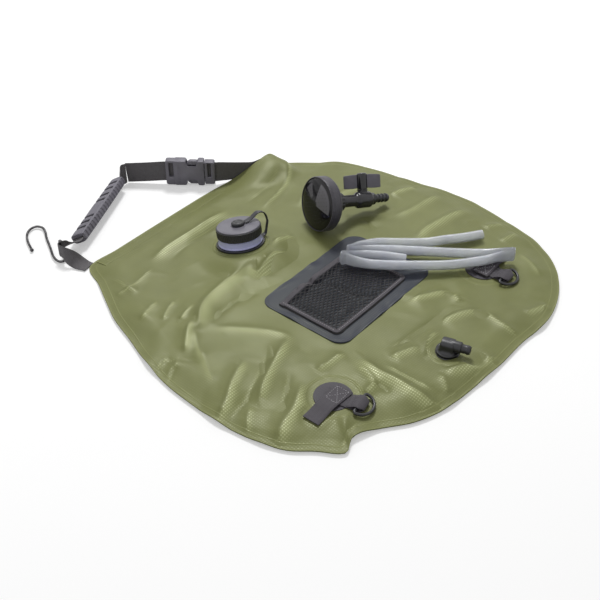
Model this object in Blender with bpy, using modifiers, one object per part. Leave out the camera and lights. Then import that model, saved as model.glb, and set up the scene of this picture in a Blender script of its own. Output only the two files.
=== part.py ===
"""Camp shower bag lying flat: soft bag, filler cap, outlet, strap, shower head and hose.

Metres, +Z up. The origin is the middle of the bag's underside. +Y points to the
top edge, which carries the strap, and +X runs along that edge.
"""
import math

import bmesh
import bpy
import numpy as np
from mathutils import Matrix, Vector
from mathutils.geometry import delaunay_2d_cdt

# Driving sizes
GAP = 0.0003                    # clearance between pieces that touch
OVERRUN = 0.002                 # how far a cutter runs past what it cuts
MERGE = 0.00005                 # merge distance of the turned shapes

BAG_LENGTH = 0.480              # bottom seam to top edge
BAG_WIDTH = 0.510               # widest place
PANEL = 0.0006                  # coated fabric
PLATEAU = 0.0070                # top of the empty bag above the floor
FOLD_RISE = 0.022               # lift of the top right corner
FOLD_X, FOLD_Y = BAG_WIDTH * 0.2863, BAG_LENGTH * 0.4625   # middle of that lift
FOLD_LEFT, FOLD_RIGHT, FOLD_IN = 0.074, 0.030, 0.060

# outline of the bag, counter-clockwise, as shares of half the width and half the length
outline_shares = [
    (0.00, 1.002), (-0.235, 1.000), (-0.47, 0.996), (-0.643, 0.992), (-0.706, 0.854),
    (-0.773, 0.717), (-0.835, 0.583), (-0.886, 0.417), (-0.941, 0.250), (-0.980, 0.075),
    (-0.996, -0.117), (-1.000, -0.275), (-0.980, -0.442), (-0.941, -0.575), (-0.871, -0.675),
    (-0.804, -0.775), (-0.729, -0.750), (-0.627, -0.796), (-0.502, -0.892), (-0.361, -0.950),
    (-0.176, -0.975), (0.00, -0.988), (0.196, -0.988), (0.373, -1.004), (0.549, -0.963),
    (0.706, -0.875), (0.812, -0.767), (0.878, -0.642), (0.922, -0.492), (0.961, -0.333),
    (0.984, -0.150), (0.973, 0.021), (0.941, 0.208), (0.922, 0.383), (0.871, 0.575),
    (0.796, 0.688), (0.729, 0.779), (0.675, 0.858), (0.627, 0.896), (0.573, 0.917),
    (0.502, 0.929), (0.416, 0.958), (0.314, 0.992), (0.157, 1.002)]
# rings of the panel grid, as shares of the way from the middle to the edge
ring_shares = [0.22, 0.36, 0.50, 0.64, 0.86, 0.935, 1.0]
RAMP_SHARE = 0.14               # band along the edge in which the bag thins to its seam

# Main folds of the upper panel: crest points as shares of half the bag, then height and foot as shares
CREST_HEIGHT = 0.0076           # crest of the tallest fold above the panel
CREST_FOOT = 0.0160             # from a crest to the foot of its slope
crest_shares = [
    ([(-0.196, 0.300), (-0.361, 0.313), (-0.525, 0.288), (-0.659, 0.183)], 1.0, 1.0),
    ([(-0.157, 0.262), (-0.094, 0.275), (-0.008, 0.283), (0.050, 0.275)], 0.62, 0.70),
    ([(-0.431, -0.150), (-0.635, -0.225), (-0.831, -0.325)], 0.85, 0.90),
    ([(-0.337, -0.467), (-0.373, -0.625), (-0.373, -0.770), (-0.353, -0.870)], 0.80, 0.90),
    ([(0.133, 0.779), (-0.102, 0.783), (-0.329, 0.783), (-0.463, 0.767)], 0.55, 0.85)]

HEM_WIDTH = 0.018               # welded band along the top edge
HEM_INSET = 0.002               # its distance from the edge
HEM_PLAY = 0.0008               # clearance over the curved panel
hem_span_shares = (-0.60, 0.20)  # of half the width

# Filler
FILLER_X, FILLER_Y = BAG_WIDTH * -0.0398, BAG_LENGTH * 0.2510
FILLER_Z = 0.0095
FILLER_TILT, FILLER_TURN = math.radians(12.3), math.radians(69.2)
MOUND_REACH = 0.070             # where the bag is level again round the filler
DISC_R = 0.036                  # welded fabric disc
DISC_T = 0.0015
DISC_SINK = 0.0006
NECK_FOOT_R = 0.0260
NECK_R = 0.0276                 # clear collar of the neck
NECK_BORE_R = 0.0205
THREAD_R = 0.0232
NECK_COLLAR_LOW, NECK_COLLAR_TOP, NECK_TOP = 0.0036, 0.0132, 0.0205
CAP_R = 0.0280
CAP_LOW, CAP_TOP = 0.0139, 0.0247
CAP_WALL_TOP = 0.0022
CAP_WALL = 0.0040
CAP_EDGE = 0.0008
PLATE_R, PLATE_T = 0.0268, 0.0011
GASKET_T = 0.0014
GASKET_WALL = 0.0026
BUTTON_R, BUTTON_STEM_R = 0.0083, 0.0030
BUTTON_HEAD = 0.0022
BUTTON_FOOT_R = 0.0050
BUTTON_FOOT_T = 0.0010
EYE_T = 0.0016                  # tether ring round the button
RING_OUT_R = 0.0302             # tether ring round the neck
RING_T = 0.0021
TETHER_WIDTH, TETHER_T = 0.0080, 0.0016
TETHER_TURN = math.radians(-20.0)
TETHER_LIFT, TETHER_REACH = 0.0075, 0.0400

# Outlet
OUTLET_X, OUTLET_Y = BAG_WIDTH * -0.0431, BAG_LENGTH * -0.3833
OUTLET_TURN = math.radians(-74.0)
FLANGE_R, FLANGE_T, FLANGE_BORE = 0.0135, 0.0019, 0.0040
FLANGE_RISE = 0.0008
SEAL_R_IN, SEAL_R_OUT, SEAL_T = 0.0068, 0.0092, 0.0010
ELBOW_DISC_R, ELBOW_DISC_T = 0.0130, 0.0022
ELBOW_WIDTH, ELBOW_DEPTH, ELBOW_HEIGHT = 0.0155, 0.0150, 0.0150
ELBOW_EDGE = 0.0024
ELBOW_BORE = 0.0032
SPIGOT_STEP_R, SPIGOT_STEP_L = 0.0066, 0.0075
SPIGOT_R, SPIGOT_L = 0.0052, 0.0175

# D-ring anchors
ANCHOR_R, ANCHOR_T = 0.0210, 0.0009
ANCHOR_LEFT = (BAG_WIDTH * -0.3039, BAG_LENGTH * -0.2729)
ANCHOR_RIGHT = (BAG_WIDTH * 0.2549, BAG_LENGTH * -0.2813)
ANCHOR_LEFT_TURN, ANCHOR_RIGHT_TURN = math.radians(-78.0), math.radians(-88.0)
TAPE_WIDTH, TAPE_T = 0.0200, 0.0014
LOOP_BACK = 0.0080
BAR_AT = 0.0300                 # D-ring bar from the middle of the disc
BAR_R = 0.0017
LOOP_BORE_R, LOOP_WALL = 0.0022, 0.0012
RING_HALF, RING_DEPTH = 0.0150, 0.0150
RING_DROOP = math.radians(10.0)
FLAP_LENGTH, FLAP_START = 0.0570, 0.0140
FLAP_SHIFT = -0.0040
flap_drop_shares = (0.55, 0.75)

# Pocket
POCKET_X, POCKET_Y = 0.0000, -0.0310
PATCH_LENGTH, PATCH_WIDTH, PATCH_CORNER, PATCH_T = 0.178, 0.122, 0.016, 0.0008
NET_LEFT, NET_RIGHT, NET_LOW, NET_HIGH = -0.080, 0.057, -0.078, 0.008
NET_T = 0.0008
GUSSET_WIDTH, GUSSET_HEIGHT = 0.0085, 0.0045
NET_COLUMNS, NET_ROWS = 14, 9
net_gap_share = 0.62

# Strap and buckle
WEB_WIDTH, WEB_T = 0.0300, 0.0014
WEB_TWIST_WIDTH = 0.0190        # webbing drawn together round the hook
WEB_GRIP_WIDTH = 0.0170         # webbing folded inside the grip
WEB_CORNER_WIDTH = 0.0200
FLOOR_GAP = 0.0004
STRAP_FOOT_GAP = 0.0010
CORNER_LEFT = (BAG_WIDTH * -0.3208, BAG_LENGTH * 0.4950)
TOP_EDGE = BAG_LENGTH / 2
HOOK_X, HOOK_BEYOND = -0.1730, 0.0370        # x, and the distance beyond the top edge
HOOK_AT = (HOOK_X, TOP_EDGE + HOOK_BEYOND)
HOOK_LIFT = 0.0050
GRIP_START_X, GRIP_START_BEYOND = -0.1430, 0.0410
GRIP_END_X, GRIP_END_BEYOND = -0.0220, 0.1010
GRIP_START = (GRIP_START_X, TOP_EDGE + GRIP_START_BEYOND)
GRIP_END = (GRIP_END_X, TOP_EDGE + GRIP_END_BEYOND)
GRIP_RUN_OUT = 0.0060           # straight webbing past each end of the grip
GRIP_WIDTH, GRIP_THICK, GRIP_ROLL = 0.0230, 0.0130, math.radians(60.0)
GRIP_EDGE = 0.0030
SLOT_WIDTH, SLOT_THICK = 0.0180, 0.0034
RIB_CUT_WIDTH, RIB_CUT_DEPTH = 0.0032, 0.0016
rib_cut_shares = (0.16, 0.26, 0.36, 0.64, 0.74, 0.84)
STRAP_FOLD_X, STRAP_FOLD_BEYOND = -0.0040, 0.1040
STRAP_FOLD = (STRAP_FOLD_X, TOP_EDGE + STRAP_FOLD_BEYOND)
BUCKLE_X, BUCKLE_BEYOND = 0.0300, 0.0620
BUCKLE_AT = (BUCKLE_X, TOP_EDGE + BUCKLE_BEYOND)
BUCKLE_TURN = math.radians(-52.0)
SOCKET_LENGTH, BUCKLE_HEIGHT, BUCKLE_THICK = 0.0520, 0.0370, 0.0120
WEB_LIFT = FLOOR_GAP + (BUCKLE_HEIGHT - WEB_WIDTH) / 2   # lower edge of webbing in the buckle
BUCKLE_EDGE = 0.0022
SOCKET_WALL = 0.0022
SOCKET_CAVITY_SHARE = 0.66
WEB_SLOT_LENGTH, WEB_SLOT_AT = 0.0060, 0.0045
PLUG_BASE, PLUG_SIDE = 0.0135, 0.0015
PLUG_GAP = 0.0005
PRONG_LENGTH, PRONG_WIDTH, PRONG_PLAY = 0.0300, 0.0060, 0.0008
WINDOW_LENGTH, WINDOW_AT = 0.0150, 0.0280
CORNER_RIGHT = (BAG_WIDTH * 0.2863, BAG_LENGTH * 0.4617)

WIRE_R = 0.0015
BALL_R = 0.0023
HOOK_LENGTH, HOOK_RISE = 0.0800, 0.0238
# plan points of the hook from its free tip, as shares of its length, from the upright
hook_plan_shares = [
    (-0.188, 0.513), (-0.081, 0.750), (0.031, 0.906), (0.150, 0.975), (0.256, 0.963), (0.300, 0.863),
    (0.256, 0.738), (0.169, 0.600), (0.031, 0.338), (-0.088, 0.113), (-0.113, -0.025),
    (-0.075, -0.083), (-0.019, -0.063), (0.0, -0.019), (0.0, 0.0), (0.0, 0.0)]
hook_rise_shares = [0.0] * 13 + [0.10, 0.28, 1.0]

# Shower head
HEAD_X, HEAD_Y, HEAD_Z = 0.067, 0.071, 0.0446
HEAD_TURN, HEAD_DROP, HEAD_ROLL = math.radians(-18.8), math.radians(14.0), math.radians(28.0)
FACE_R, FACE_T, FACE_BULGE = 0.0302, 0.0020, 0.0050
ROSE_R, ROSE_WALL, ROSE_RIM = 0.0345, 0.0022, 0.0140
ROSE_LIP = 0.0030
ROSE_BACK, COLLAR_START, COLLAR_END = 0.0220, 0.0278, 0.0370
WASHER_R, WASHER_T = 0.0076, 0.0014
COLLAR_R, COLLAR_EDGE = 0.0118, 0.0010
WATERWAY_R = 0.0040
BODY_R, BODY_END = 0.0083, 0.0860
STEM_AT = 0.0725
HOUSING_R = 0.0105
BALL_VALVE_R = 0.0066
SEAT_T = 0.0018
BONNET_R, BONNET_TOP = 0.0068, 0.0132
STEM_R, STEM_TOP = 0.0030, 0.0190
PACKING_R, PACKING_T = 0.0048, 0.0016
LEVER_HUB_R, LEVER_LOW, LEVER_TOP = 0.0062, 0.0135, 0.0318
WING_LENGTH, WING_T, WING_LOW, WING_TOP = 0.0470, 0.0030, 0.0165, 0.0300
LEVER_TURN = math.radians(-32.0)
BARB_R, BARB_ROOT_R, BARB_BORE, BARB_TIP = 0.0058, 0.0046, 0.0030, 0.1120
BARB_COUNT = 4
BARB_FLANGE_R, BARB_FLANGE_T = 0.0078, 0.0030

# Hose
HOSE_R, HOSE_BORE_R = 0.0060, 0.0045
CREASE_HALF_T, CREASE_HALF_H = 0.0014, 0.0092
CREASE_BORE_T, CREASE_BORE_H = 0.0003, 0.0080
CREASE_BEND = 0.0019
CREASE_SPREAD = 0.0450
CREASE_LEG = 0.0040
HOSE_SIDES = 8
# runs of the hose in order, x, y, z; the sharp folds lie between them
HOSE_RUNS = [
    [(0.1820, -0.1014, 0.0142), (0.1600, -0.0880, 0.0152), (0.1400, -0.0730, 0.0160),
     (0.1197, -0.0590, 0.0168), (0.0950, -0.0325, 0.0180), (0.0770, -0.0155, 0.0202),
     (0.0568, -0.0064, 0.0226)],
    [(0.0505, -0.0145, 0.0228), (0.0701, -0.0295, 0.0202), (0.0900, -0.0520, 0.0182),
     (0.1080, -0.0765, 0.0176), (0.1260, -0.1020, 0.0176), (0.1440, -0.1290, 0.0190)],
    [(0.1485, -0.1462, 0.0202), (0.1322, -0.1345, 0.0184), (0.1128, -0.1192, 0.0180),
     (0.0955, -0.1030, 0.0175), (0.0800, -0.0860, 0.0180), (0.0640, -0.0700, 0.0196),
     (0.0488, -0.0531, 0.0208), (0.0340, -0.0335, 0.0217), (0.0255, -0.0170, 0.0236)],
    [(0.0325, -0.0125, 0.0236), (0.0465, -0.0218, 0.0219), (0.0605, -0.0370, 0.0202),
     (0.0695, -0.0505, 0.0186), (0.0760, -0.0603, 0.0176)]]
# middle of each fold, x, y, z, and the way it points
HOSE_FOLDS = [((0.0370, -0.0030, 0.0240), math.radians(150.0)),
              ((0.1612, -0.1563, 0.0214), math.radians(-49.0)),
              ((0.0220, -0.0050, 0.0240), math.radians(140.0))]

# Looks
OLIVE = (0.235, 0.250, 0.120, 1.0)
OLIVE_DARK = (0.200, 0.215, 0.100, 1.0)
BLACK = (0.018, 0.018, 0.022, 1.0)
CHARCOAL = (0.050, 0.048, 0.055, 1.0)
SLATE = (0.070, 0.073, 0.085, 1.0)
GREY = (0.110, 0.105, 0.125, 1.0)
PALE_GREY = (0.330, 0.320, 0.360, 1.0)
CLEAR_BLUE = (0.420, 0.440, 0.680, 1.0)
CLEAR = (0.800, 0.810, 0.860, 1.0)
STEEL = (0.160, 0.160, 0.165, 1.0)


# Helpers
def clear_scene():
    """Remove every object that the file opened with."""
    for obj in list(bpy.data.objects):
        bpy.data.objects.remove(obj, do_unlink=True)


clear_scene()
PARTS = bpy.data.collections.new("camp_shower_bag")
CUTTERS = bpy.data.collections.new("cutters")
bpy.context.scene.collection.children.link(PARTS)
bpy.context.scene.collection.children.link(CUTTERS)


def material(name, colour, roughness, metallic=0.0):
    """A Principled material named for its piece."""
    mat = bpy.data.materials.new(name)
    mat.use_nodes = True
    shader = mat.node_tree.nodes["Principled BSDF"]
    shader.inputs["Base Color"].default_value = colour
    shader.inputs["Roughness"].default_value = roughness
    shader.inputs["Metallic"].default_value = metallic
    return mat


def place(obj, frame=None, look=None):
    """Link an object: a piece with its look, or a cutter without one."""
    if look is None:
        CUTTERS.objects.link(obj)
        obj.hide_render = True
        obj.display_type = "WIRE"
    else:
        PARTS.objects.link(obj)
        obj.data.materials.append(material(obj.name, *look))
    if frame is not None:
        obj.parent = frame
    return obj


def frame_at(name, origin, matrix=None):
    """An empty that carries the pieces of one joint or one assembly."""
    empty = bpy.data.objects.new(name, None)
    empty.empty_display_size = BAR_AT
    PARTS.objects.link(empty)
    empty.matrix_world = Matrix.Translation(origin) @ (matrix or Matrix.Identity(4))
    return empty


def axes_matrix(x_axis, y_axis, z_axis):
    """Rotation whose columns are the three given directions."""
    return Matrix((x_axis, y_axis, z_axis)).transposed().to_4x4()


def mesh_object(name, verts, faces, edges=()):
    """Mesh object from points and faces."""
    mesh = bpy.data.meshes.new(name)
    mesh.from_pydata([tuple(v) for v in verts], list(edges), list(faces))
    mesh.update()
    return bpy.data.objects.new(name, mesh)


def smooth(obj, degrees=35.0):
    """Round pieces are shaded smooth, with sharp edges kept."""
    obj.data.shade_smooth()
    obj.data.set_sharp_from_angle(angle=math.radians(degrees))
    return obj


def lathe(name, profile, frame, look, steps=36, ring=True):
    """Turn a profile (radius, height) round local Z; it runs down its outer side."""
    count = len(profile)
    edges = [(i, i + 1) for i in range(count - 1)]
    if ring:
        edges.append((count - 1, 0))
    obj = mesh_object(name, [(r, 0.0, z) for r, z in profile], [], edges)
    screw = obj.modifiers.new("turn", "SCREW")
    screw.steps = steps
    screw.render_steps = steps
    screw.use_merge_vertices = True
    screw.merge_threshold = MERGE
    screw.use_smooth_shade = True
    return place(obj, frame, look)


def block(name, low, high, frame, look, edge=0.0):
    """A box between two corners, with rounded edges if asked."""
    bm = bmesh.new()
    bmesh.ops.create_cube(bm, size=1.0)
    low, high = Vector(low), Vector(high)
    bmesh.ops.scale(bm, vec=high - low, verts=bm.verts)
    bmesh.ops.translate(bm, vec=(high + low) / 2, verts=bm.verts)
    mesh = bpy.data.meshes.new(name)
    bm.to_mesh(mesh)
    bm.free()
    obj = bpy.data.objects.new(name, mesh)
    if edge > 0:
        bevel = obj.modifiers.new("edges", "BEVEL")
        bevel.width = edge
        bevel.segments = 2
    return place(obj, frame, look)


def rod(name, radius, start, end, frame, look, sides=28):
    """A round bar between two points."""
    start, end = Vector(start), Vector(end)
    bm = bmesh.new()
    bmesh.ops.create_cone(bm, cap_ends=True, segments=sides, radius1=radius, radius2=radius,
                          depth=(end - start).length)
    turn = (end - start).to_track_quat("Z", "Y").to_matrix()
    bmesh.ops.rotate(bm, cent=(0, 0, 0), matrix=turn, verts=bm.verts)
    bmesh.ops.translate(bm, vec=(start + end) / 2, verts=bm.verts)
    mesh = bpy.data.meshes.new(name)
    bm.to_mesh(mesh)
    bm.free()
    return place(smooth(bpy.data.objects.new(name, mesh)), frame, look)


def plate(name, loops, low, thick, frame, look):
    """A flat outline, with any holes, raised from low by thick along local Z."""
    curve = bpy.data.curves.new(name, "CURVE")
    curve.dimensions = "2D"
    curve.fill_mode = "BOTH"
    curve.extrude = thick / 2
    for loop in loops:
        spline = curve.splines.new("POLY")
        spline.points.add(len(loop) - 1)
        for point, (x, y) in zip(spline.points, loop):
            point.co = (x, y, 0.0, 1.0)
        spline.use_cyclic_u = True
    obj = bpy.data.objects.new(name, curve)
    obj.location = (0, 0, low + thick / 2)
    return place(obj, frame, look)


def wire(name, points, radius, frame, look, cyclic=False, resolution=2):
    """A round wire along a row of points."""
    curve = bpy.data.curves.new(name, "CURVE")
    curve.dimensions = "3D"
    curve.bevel_depth = radius
    curve.bevel_resolution = resolution
    curve.use_fill_caps = not cyclic
    spline = curve.splines.new("POLY")
    spline.points.add(len(points) - 1)
    for point, place_ in zip(spline.points, points):
        point.co = (*place_, 1.0)
    spline.use_cyclic_u = cyclic
    obj = bpy.data.objects.new(name, curve)
    return place(obj, frame, look)


def meshed(obj):
    """Turn a placed curve into a mesh of its own, with its caps welded."""
    graph = bpy.context.evaluated_depsgraph_get()
    mesh = bpy.data.meshes.new_from_object(obj.evaluated_get(graph))
    bm = bmesh.new()
    bm.from_mesh(mesh)
    bmesh.ops.remove_doubles(bm, verts=bm.verts, dist=MERGE)
    bm.to_mesh(mesh)
    bm.free()
    name, matrix, parent, looks = obj.name, obj.matrix_world.copy(), obj.parent, obj.users_collection
    bpy.data.objects.remove(obj, do_unlink=True)
    new = bpy.data.objects.new(name, mesh)
    for collection in looks:
        collection.objects.link(new)
    new.parent = parent
    bpy.context.view_layer.update()
    new.matrix_world = matrix
    return new


def cut(obj, tool, operation="DIFFERENCE"):
    """Cut a piece with a tool, or join the tool to it."""
    modifier = obj.modifiers.new(operation.lower(), "BOOLEAN")
    modifier.operation = operation
    modifier.solver = "EXACT"
    modifier.object = tool
    return obj


def spaced(points, steps, closed=False):
    """Points of a smooth curve through the given ones, steps to each span.

    Each span is a cubic whose slope at a point is the mean slope of its two chords,
    so uneven spacing doesn't swing it out.
    """
    pts = np.asarray(points, float)
    if closed:
        ring = np.concatenate([pts[-1:], pts, pts[:2]])
    else:
        ring = np.concatenate([2 * pts[:1] - pts[1:2], pts, 2 * pts[-1:] - pts[-2:-1]])
    chord = np.linalg.norm(np.diff(ring[:, :3], axis=0), axis=1)
    slope = (ring[2:] - ring[:-2]) / (chord[:-1] + chord[1:])[:, None]
    rows = []
    for i in range(len(ring) - 3):
        a, b, h = ring[i + 1], ring[i + 2], chord[i + 1]
        for t in np.linspace(0, 1, steps, endpoint=False):
            rows.append((2 * t ** 3 - 3 * t ** 2 + 1) * a + (t ** 3 - 2 * t ** 2 + t) * h * slope[i]
                        + (3 * t ** 2 - 2 * t ** 3) * b + (t ** 3 - t ** 2) * h * slope[i + 1])
    if not closed:
        rows.append(pts[-1])
    return np.array(rows)


def ease(t):
    """Smooth step from 0 to 1."""
    t = np.clip(t, 0.0, 1.0)
    return t * t * (3 - 2 * t)


def turned(point, angle, origin=(0.0, 0.0)):
    """A plan point turned by an angle and moved to an origin."""
    c, s = math.cos(angle), math.sin(angle)
    return (origin[0] + c * point[0] - s * point[1], origin[1] + s * point[0] + c * point[1])


def loft(name, rings, frame, look, closed_rings=False):
    """Join rings of equal point counts into one solid, with caps or end to end."""
    rings = np.asarray(rings, float)
    rows, cols = rings.shape[:2]
    verts = rings.reshape(-1, 3)
    faces = []
    for i in range(rows if closed_rings else rows - 1):
        j = (i + 1) % rows
        for k in range(cols):
            n = (k + 1) % cols
            faces.append((i * cols + k, i * cols + n, j * cols + n, j * cols + k))
    if not closed_rings:
        faces.append(tuple(range(cols - 1, -1, -1)))
        faces.append(tuple((rows - 1) * cols + k for k in range(cols)))
    obj = mesh_object(name, verts, faces)
    bm = bmesh.new()
    bm.from_mesh(obj.data)
    bmesh.ops.recalc_face_normals(bm, faces=bm.faces)
    bm.to_mesh(obj.data)
    bm.free()
    return place(smooth(obj), frame, look)


def ribbon(name, centres, across, widths, thick, frame, look):
    """A flat band along centres; across holds the direction of its width at each."""
    centres, across = np.asarray(centres, float), np.asarray(across, float)
    widths = np.asarray(widths, float)
    along = np.gradient(centres, axis=0)
    along /= np.linalg.norm(along, axis=1)[:, None]
    across = across - (across * along).sum(1)[:, None] * along
    across /= np.linalg.norm(across, axis=1)[:, None]
    up = np.cross(along, across) * thick / 2
    side = across * widths[:, None] / 2
    rings = np.stack([centres - side - up, centres + side - up,
                      centres + side + up, centres - side + up], axis=1)
    return loft(name, rings, frame, look)


# Bag
def bag_outline():
    """The bag's edge, as plan points."""
    half = np.array([BAG_WIDTH / 2, BAG_LENGTH / 2])
    return spaced(np.array(outline_shares) * half, 2, closed=True)


def fold_lift(x, y):
    """Height by which the top right corner leaves the floor."""
    across = np.where(x < FOLD_X, (FOLD_X - x) / FOLD_LEFT, (x - FOLD_X) / FOLD_RIGHT)
    inward = (y - FOLD_Y) / FOLD_IN
    return FOLD_RISE * (1 - ease(np.hypot(across, inward)))


def filler_axes():
    """Rotation of the leaning filler: local Z is its axis, local X its radial zero."""
    lean = Matrix.Rotation(FILLER_TURN, 4, "Z") @ Matrix.Rotation(FILLER_TILT, 4, "Y")
    return lean @ Matrix.Rotation(-FILLER_TURN, 4, "Z")


def crest_line(shares):
    """The crest of one fold, as plan points."""
    return spaced(np.array(shares) * (BAG_WIDTH / 2, BAG_LENGTH / 2), 2)


def crest_lift(x, y):
    """Height that the main folds add: a ridge along each crest, level with the panel at its ends."""
    lift = 0.0
    for shares, height, foot in crest_shares:
        line = crest_line(shares)
        start, step = line[:-1], np.diff(line, axis=0)
        at = np.clip((((x, y) - start) * step).sum(1) / (step * step).sum(1), 0, 1)
        away = np.linalg.norm((x, y) - start - step * at[:, None], axis=1)
        near = int(np.argmin(away))
        along = (near + at[near]) / len(step)
        slope = max(0.0, 1 - away[near] / (CREST_FOOT * foot))
        lift += CREST_HEIGHT * height * slope * math.sqrt(math.sin(math.pi * along))
    return lift


def edge_share(x, y):
    """How far a place is from the middle, as a share of the way to the outline."""
    edge = bag_outline()
    turn = np.arctan2(edge[:, 1], edge[:, 0])
    order = np.argsort(turn)
    reach = np.interp(math.atan2(y, x), turn[order], np.hypot(*edge.T)[order], period=2 * math.pi)
    return math.hypot(x, y) / reach


def front_height(x, y, share):
    """Underside of the upper panel."""
    seam = PANEL + GAP
    z = seam + (PLATEAU - PANEL - seam) * ease((1 - share) / RAMP_SHARE) + fold_lift(x, y)
    dx, dy = x - FILLER_X, y - FILLER_Y
    slope = math.tan(FILLER_TILT)
    plane = FILLER_Z - PANEL - slope * (dx * math.cos(FILLER_TURN) + dy * math.sin(FILLER_TURN))
    weight = 1 - ease((np.hypot(dx, dy) - DISC_R) / (MOUND_REACH - DISC_R))
    return z * (1 - weight) + np.maximum(plane, seam) * weight


def back_panel(look):
    """The lower panel: a grid from the middle to the outline, given its thickness."""
    edge = bag_outline()
    count = len(edge)
    rings = ring_shares[3:]
    verts = [(0.0, 0.0, PANEL)]
    for share in rings:
        for x, y in edge * share:
            verts.append((x, y, PANEL + float(fold_lift(x, y))))
    faces = [(0, 1 + k, 1 + (k + 1) % count) for k in range(count)]
    for row in range(len(rings) - 1):
        a, b = 1 + row * count, 1 + (row + 1) * count
        for k in range(count):
            n = (k + 1) % count
            faces.append((a + k, b + k, b + n, a + n))
    return fabric("back_panel", verts, faces, -1.0, look)


def fabric(name, verts, faces, offset, look):
    """A sheet through the given points, with the fabric's thickness on one side."""
    obj = smooth(mesh_object(name, verts, faces))
    solid = obj.modifiers.new("fabric", "SOLIDIFY")
    solid.thickness = PANEL
    solid.offset = offset
    return place(obj, None, look)


def around_filler(radius, count):
    """Plan points on a circle round the filler."""
    turns = np.arange(count) * 2 * math.pi / count
    return [(FILLER_X + radius * math.cos(t), FILLER_Y + radius * math.sin(t)) for t in turns]


def front_points():
    """Plan points of the upper panel and the lines between them that its faces keep to."""
    edge = bag_outline()
    count = len(edge)
    points = [tuple(p) for p in edge]
    lines = [(k, (k + 1) % count) for k in range(count)]
    feet = [(crest_line(shares), CREST_FOOT * foot) for shares, _, foot in crest_shares]
    middle = np.array((FILLER_X, FILLER_Y))
    for share in ring_shares[:-1]:
        for x, y in edge[::2 if share < ring_shares[2] else 1] * share:
            clear = all(np.linalg.norm(line - (x, y), axis=1).min() > foot * 1.3 for line, foot in feet)
            if clear and np.linalg.norm(middle - (x, y)) > MOUND_REACH:
                points.append((x, y))
    for radius, steps in ((DISC_R, 24), ((DISC_R + MOUND_REACH) / 2, 20), (MOUND_REACH, 20)):
        points += around_filler(radius, steps)
    for line, foot in feet:
        along = np.gradient(line, axis=0)
        side = np.stack([-along[:, 1], along[:, 0]], axis=1) / np.linalg.norm(along, axis=1)[:, None]
        for row in (line, (line + side * foot)[1:-1], (line - side * foot)[1:-1]):
            first = len(points)
            points += [tuple(p) for p in row]
            lines += [(first + k, first + k + 1) for k in range(len(row) - 1)]
    return points, lines, count


def front_panel(look):
    """The upper panel: triangles between the plan points, raised to their heights and given a thickness."""
    points, lines, count = front_points()
    flat = delaunay_2d_cdt([Vector(p) for p in points], lines, [list(range(count))], 1, MERGE)
    verts = []
    for x, y in flat[0]:
        verts.append((x, y, float(front_height(x, y, edge_share(x, y))) + crest_lift(x, y)))
    return fabric("front_panel", verts, flat[2], 1.0, look)


def build_bag():
    """Two welded panels; the upper one is open at the filler and the outlet."""
    look = (OLIVE, 0.55)
    back_panel(look)
    front = front_panel(look)
    reach = FILLER_Z
    cut(front, rod("filler_hole", DISC_R + GAP, (0, 0, -reach), (0, 0, reach), FILLER, None, 48))
    cut(front, rod("outlet_hole", FLANGE_R + GAP, (0, 0, -OVERRUN), (0, 0, OVERRUN), OUTLET, None))


def edge_y(x):
    """The top edge of the bag at x, for places left of the raised corner."""
    edge = bag_outline()
    top = edge[edge[:, 1] > BAG_LENGTH / 4]
    order = np.argsort(top[:, 0])
    return float(np.interp(x, top[order, 0], top[order, 1]))


def build_hem():
    """The welded band that closes the top edge, on the slope of the upper panel."""
    half = BAG_WIDTH / 2
    stations = np.linspace(hem_span_shares[0] * half, hem_span_shares[1] * half, 14)
    rings = []
    for x in stations:
        y_out = edge_y(x) - HEM_INSET
        row = []
        for y in np.linspace(y_out, y_out - HEM_WIDTH, 4):
            row.append((x, y, hem_top(x, y)))
        rings.append(row + [(px, py, pz + PANEL) for px, py, pz in reversed(row)])
    loft("top_hem", rings, None, (OLIVE_DARK, 0.5))


def hem_top(x, y):
    """Top of the upper panel under the hem, with clearance."""
    share = y / edge_y(x)
    return float(front_height(x, y, share)) + PANEL + HEM_PLAY


# Filler
def build_filler():
    """Welded disc, clear neck, screw cap with its gasket and button, and the tether."""
    low = -DISC_SINK
    disc_top = low + DISC_T
    lathe("filler_disc", [(DISC_R, disc_top), (DISC_R, low), (NECK_FOOT_R + GAP, low),
                          (NECK_FOOT_R + GAP, disc_top)], FILLER, (OLIVE_DARK, 0.45), 40)
    ring_low = disc_top + GAP
    ring_top = ring_low + RING_T
    lathe("tether_ring", [(RING_OUT_R, ring_top), (RING_OUT_R, ring_low),
                          (NECK_FOOT_R + GAP, ring_low), (NECK_FOOT_R + GAP, ring_top)],
          FILLER, (BLACK, 0.45), 36)
    lathe("filler_neck", [(THREAD_R, NECK_TOP), (THREAD_R, NECK_COLLAR_TOP), (NECK_R, NECK_COLLAR_TOP),
                          (NECK_R, NECK_COLLAR_LOW), (NECK_FOOT_R, NECK_COLLAR_LOW), (NECK_FOOT_R, low),
                          (NECK_BORE_R, low), (NECK_BORE_R, NECK_TOP)],
          FILLER, (CLEAR_BLUE, 0.2), 36)
    build_cap()
    build_tether(ring_low)


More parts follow.
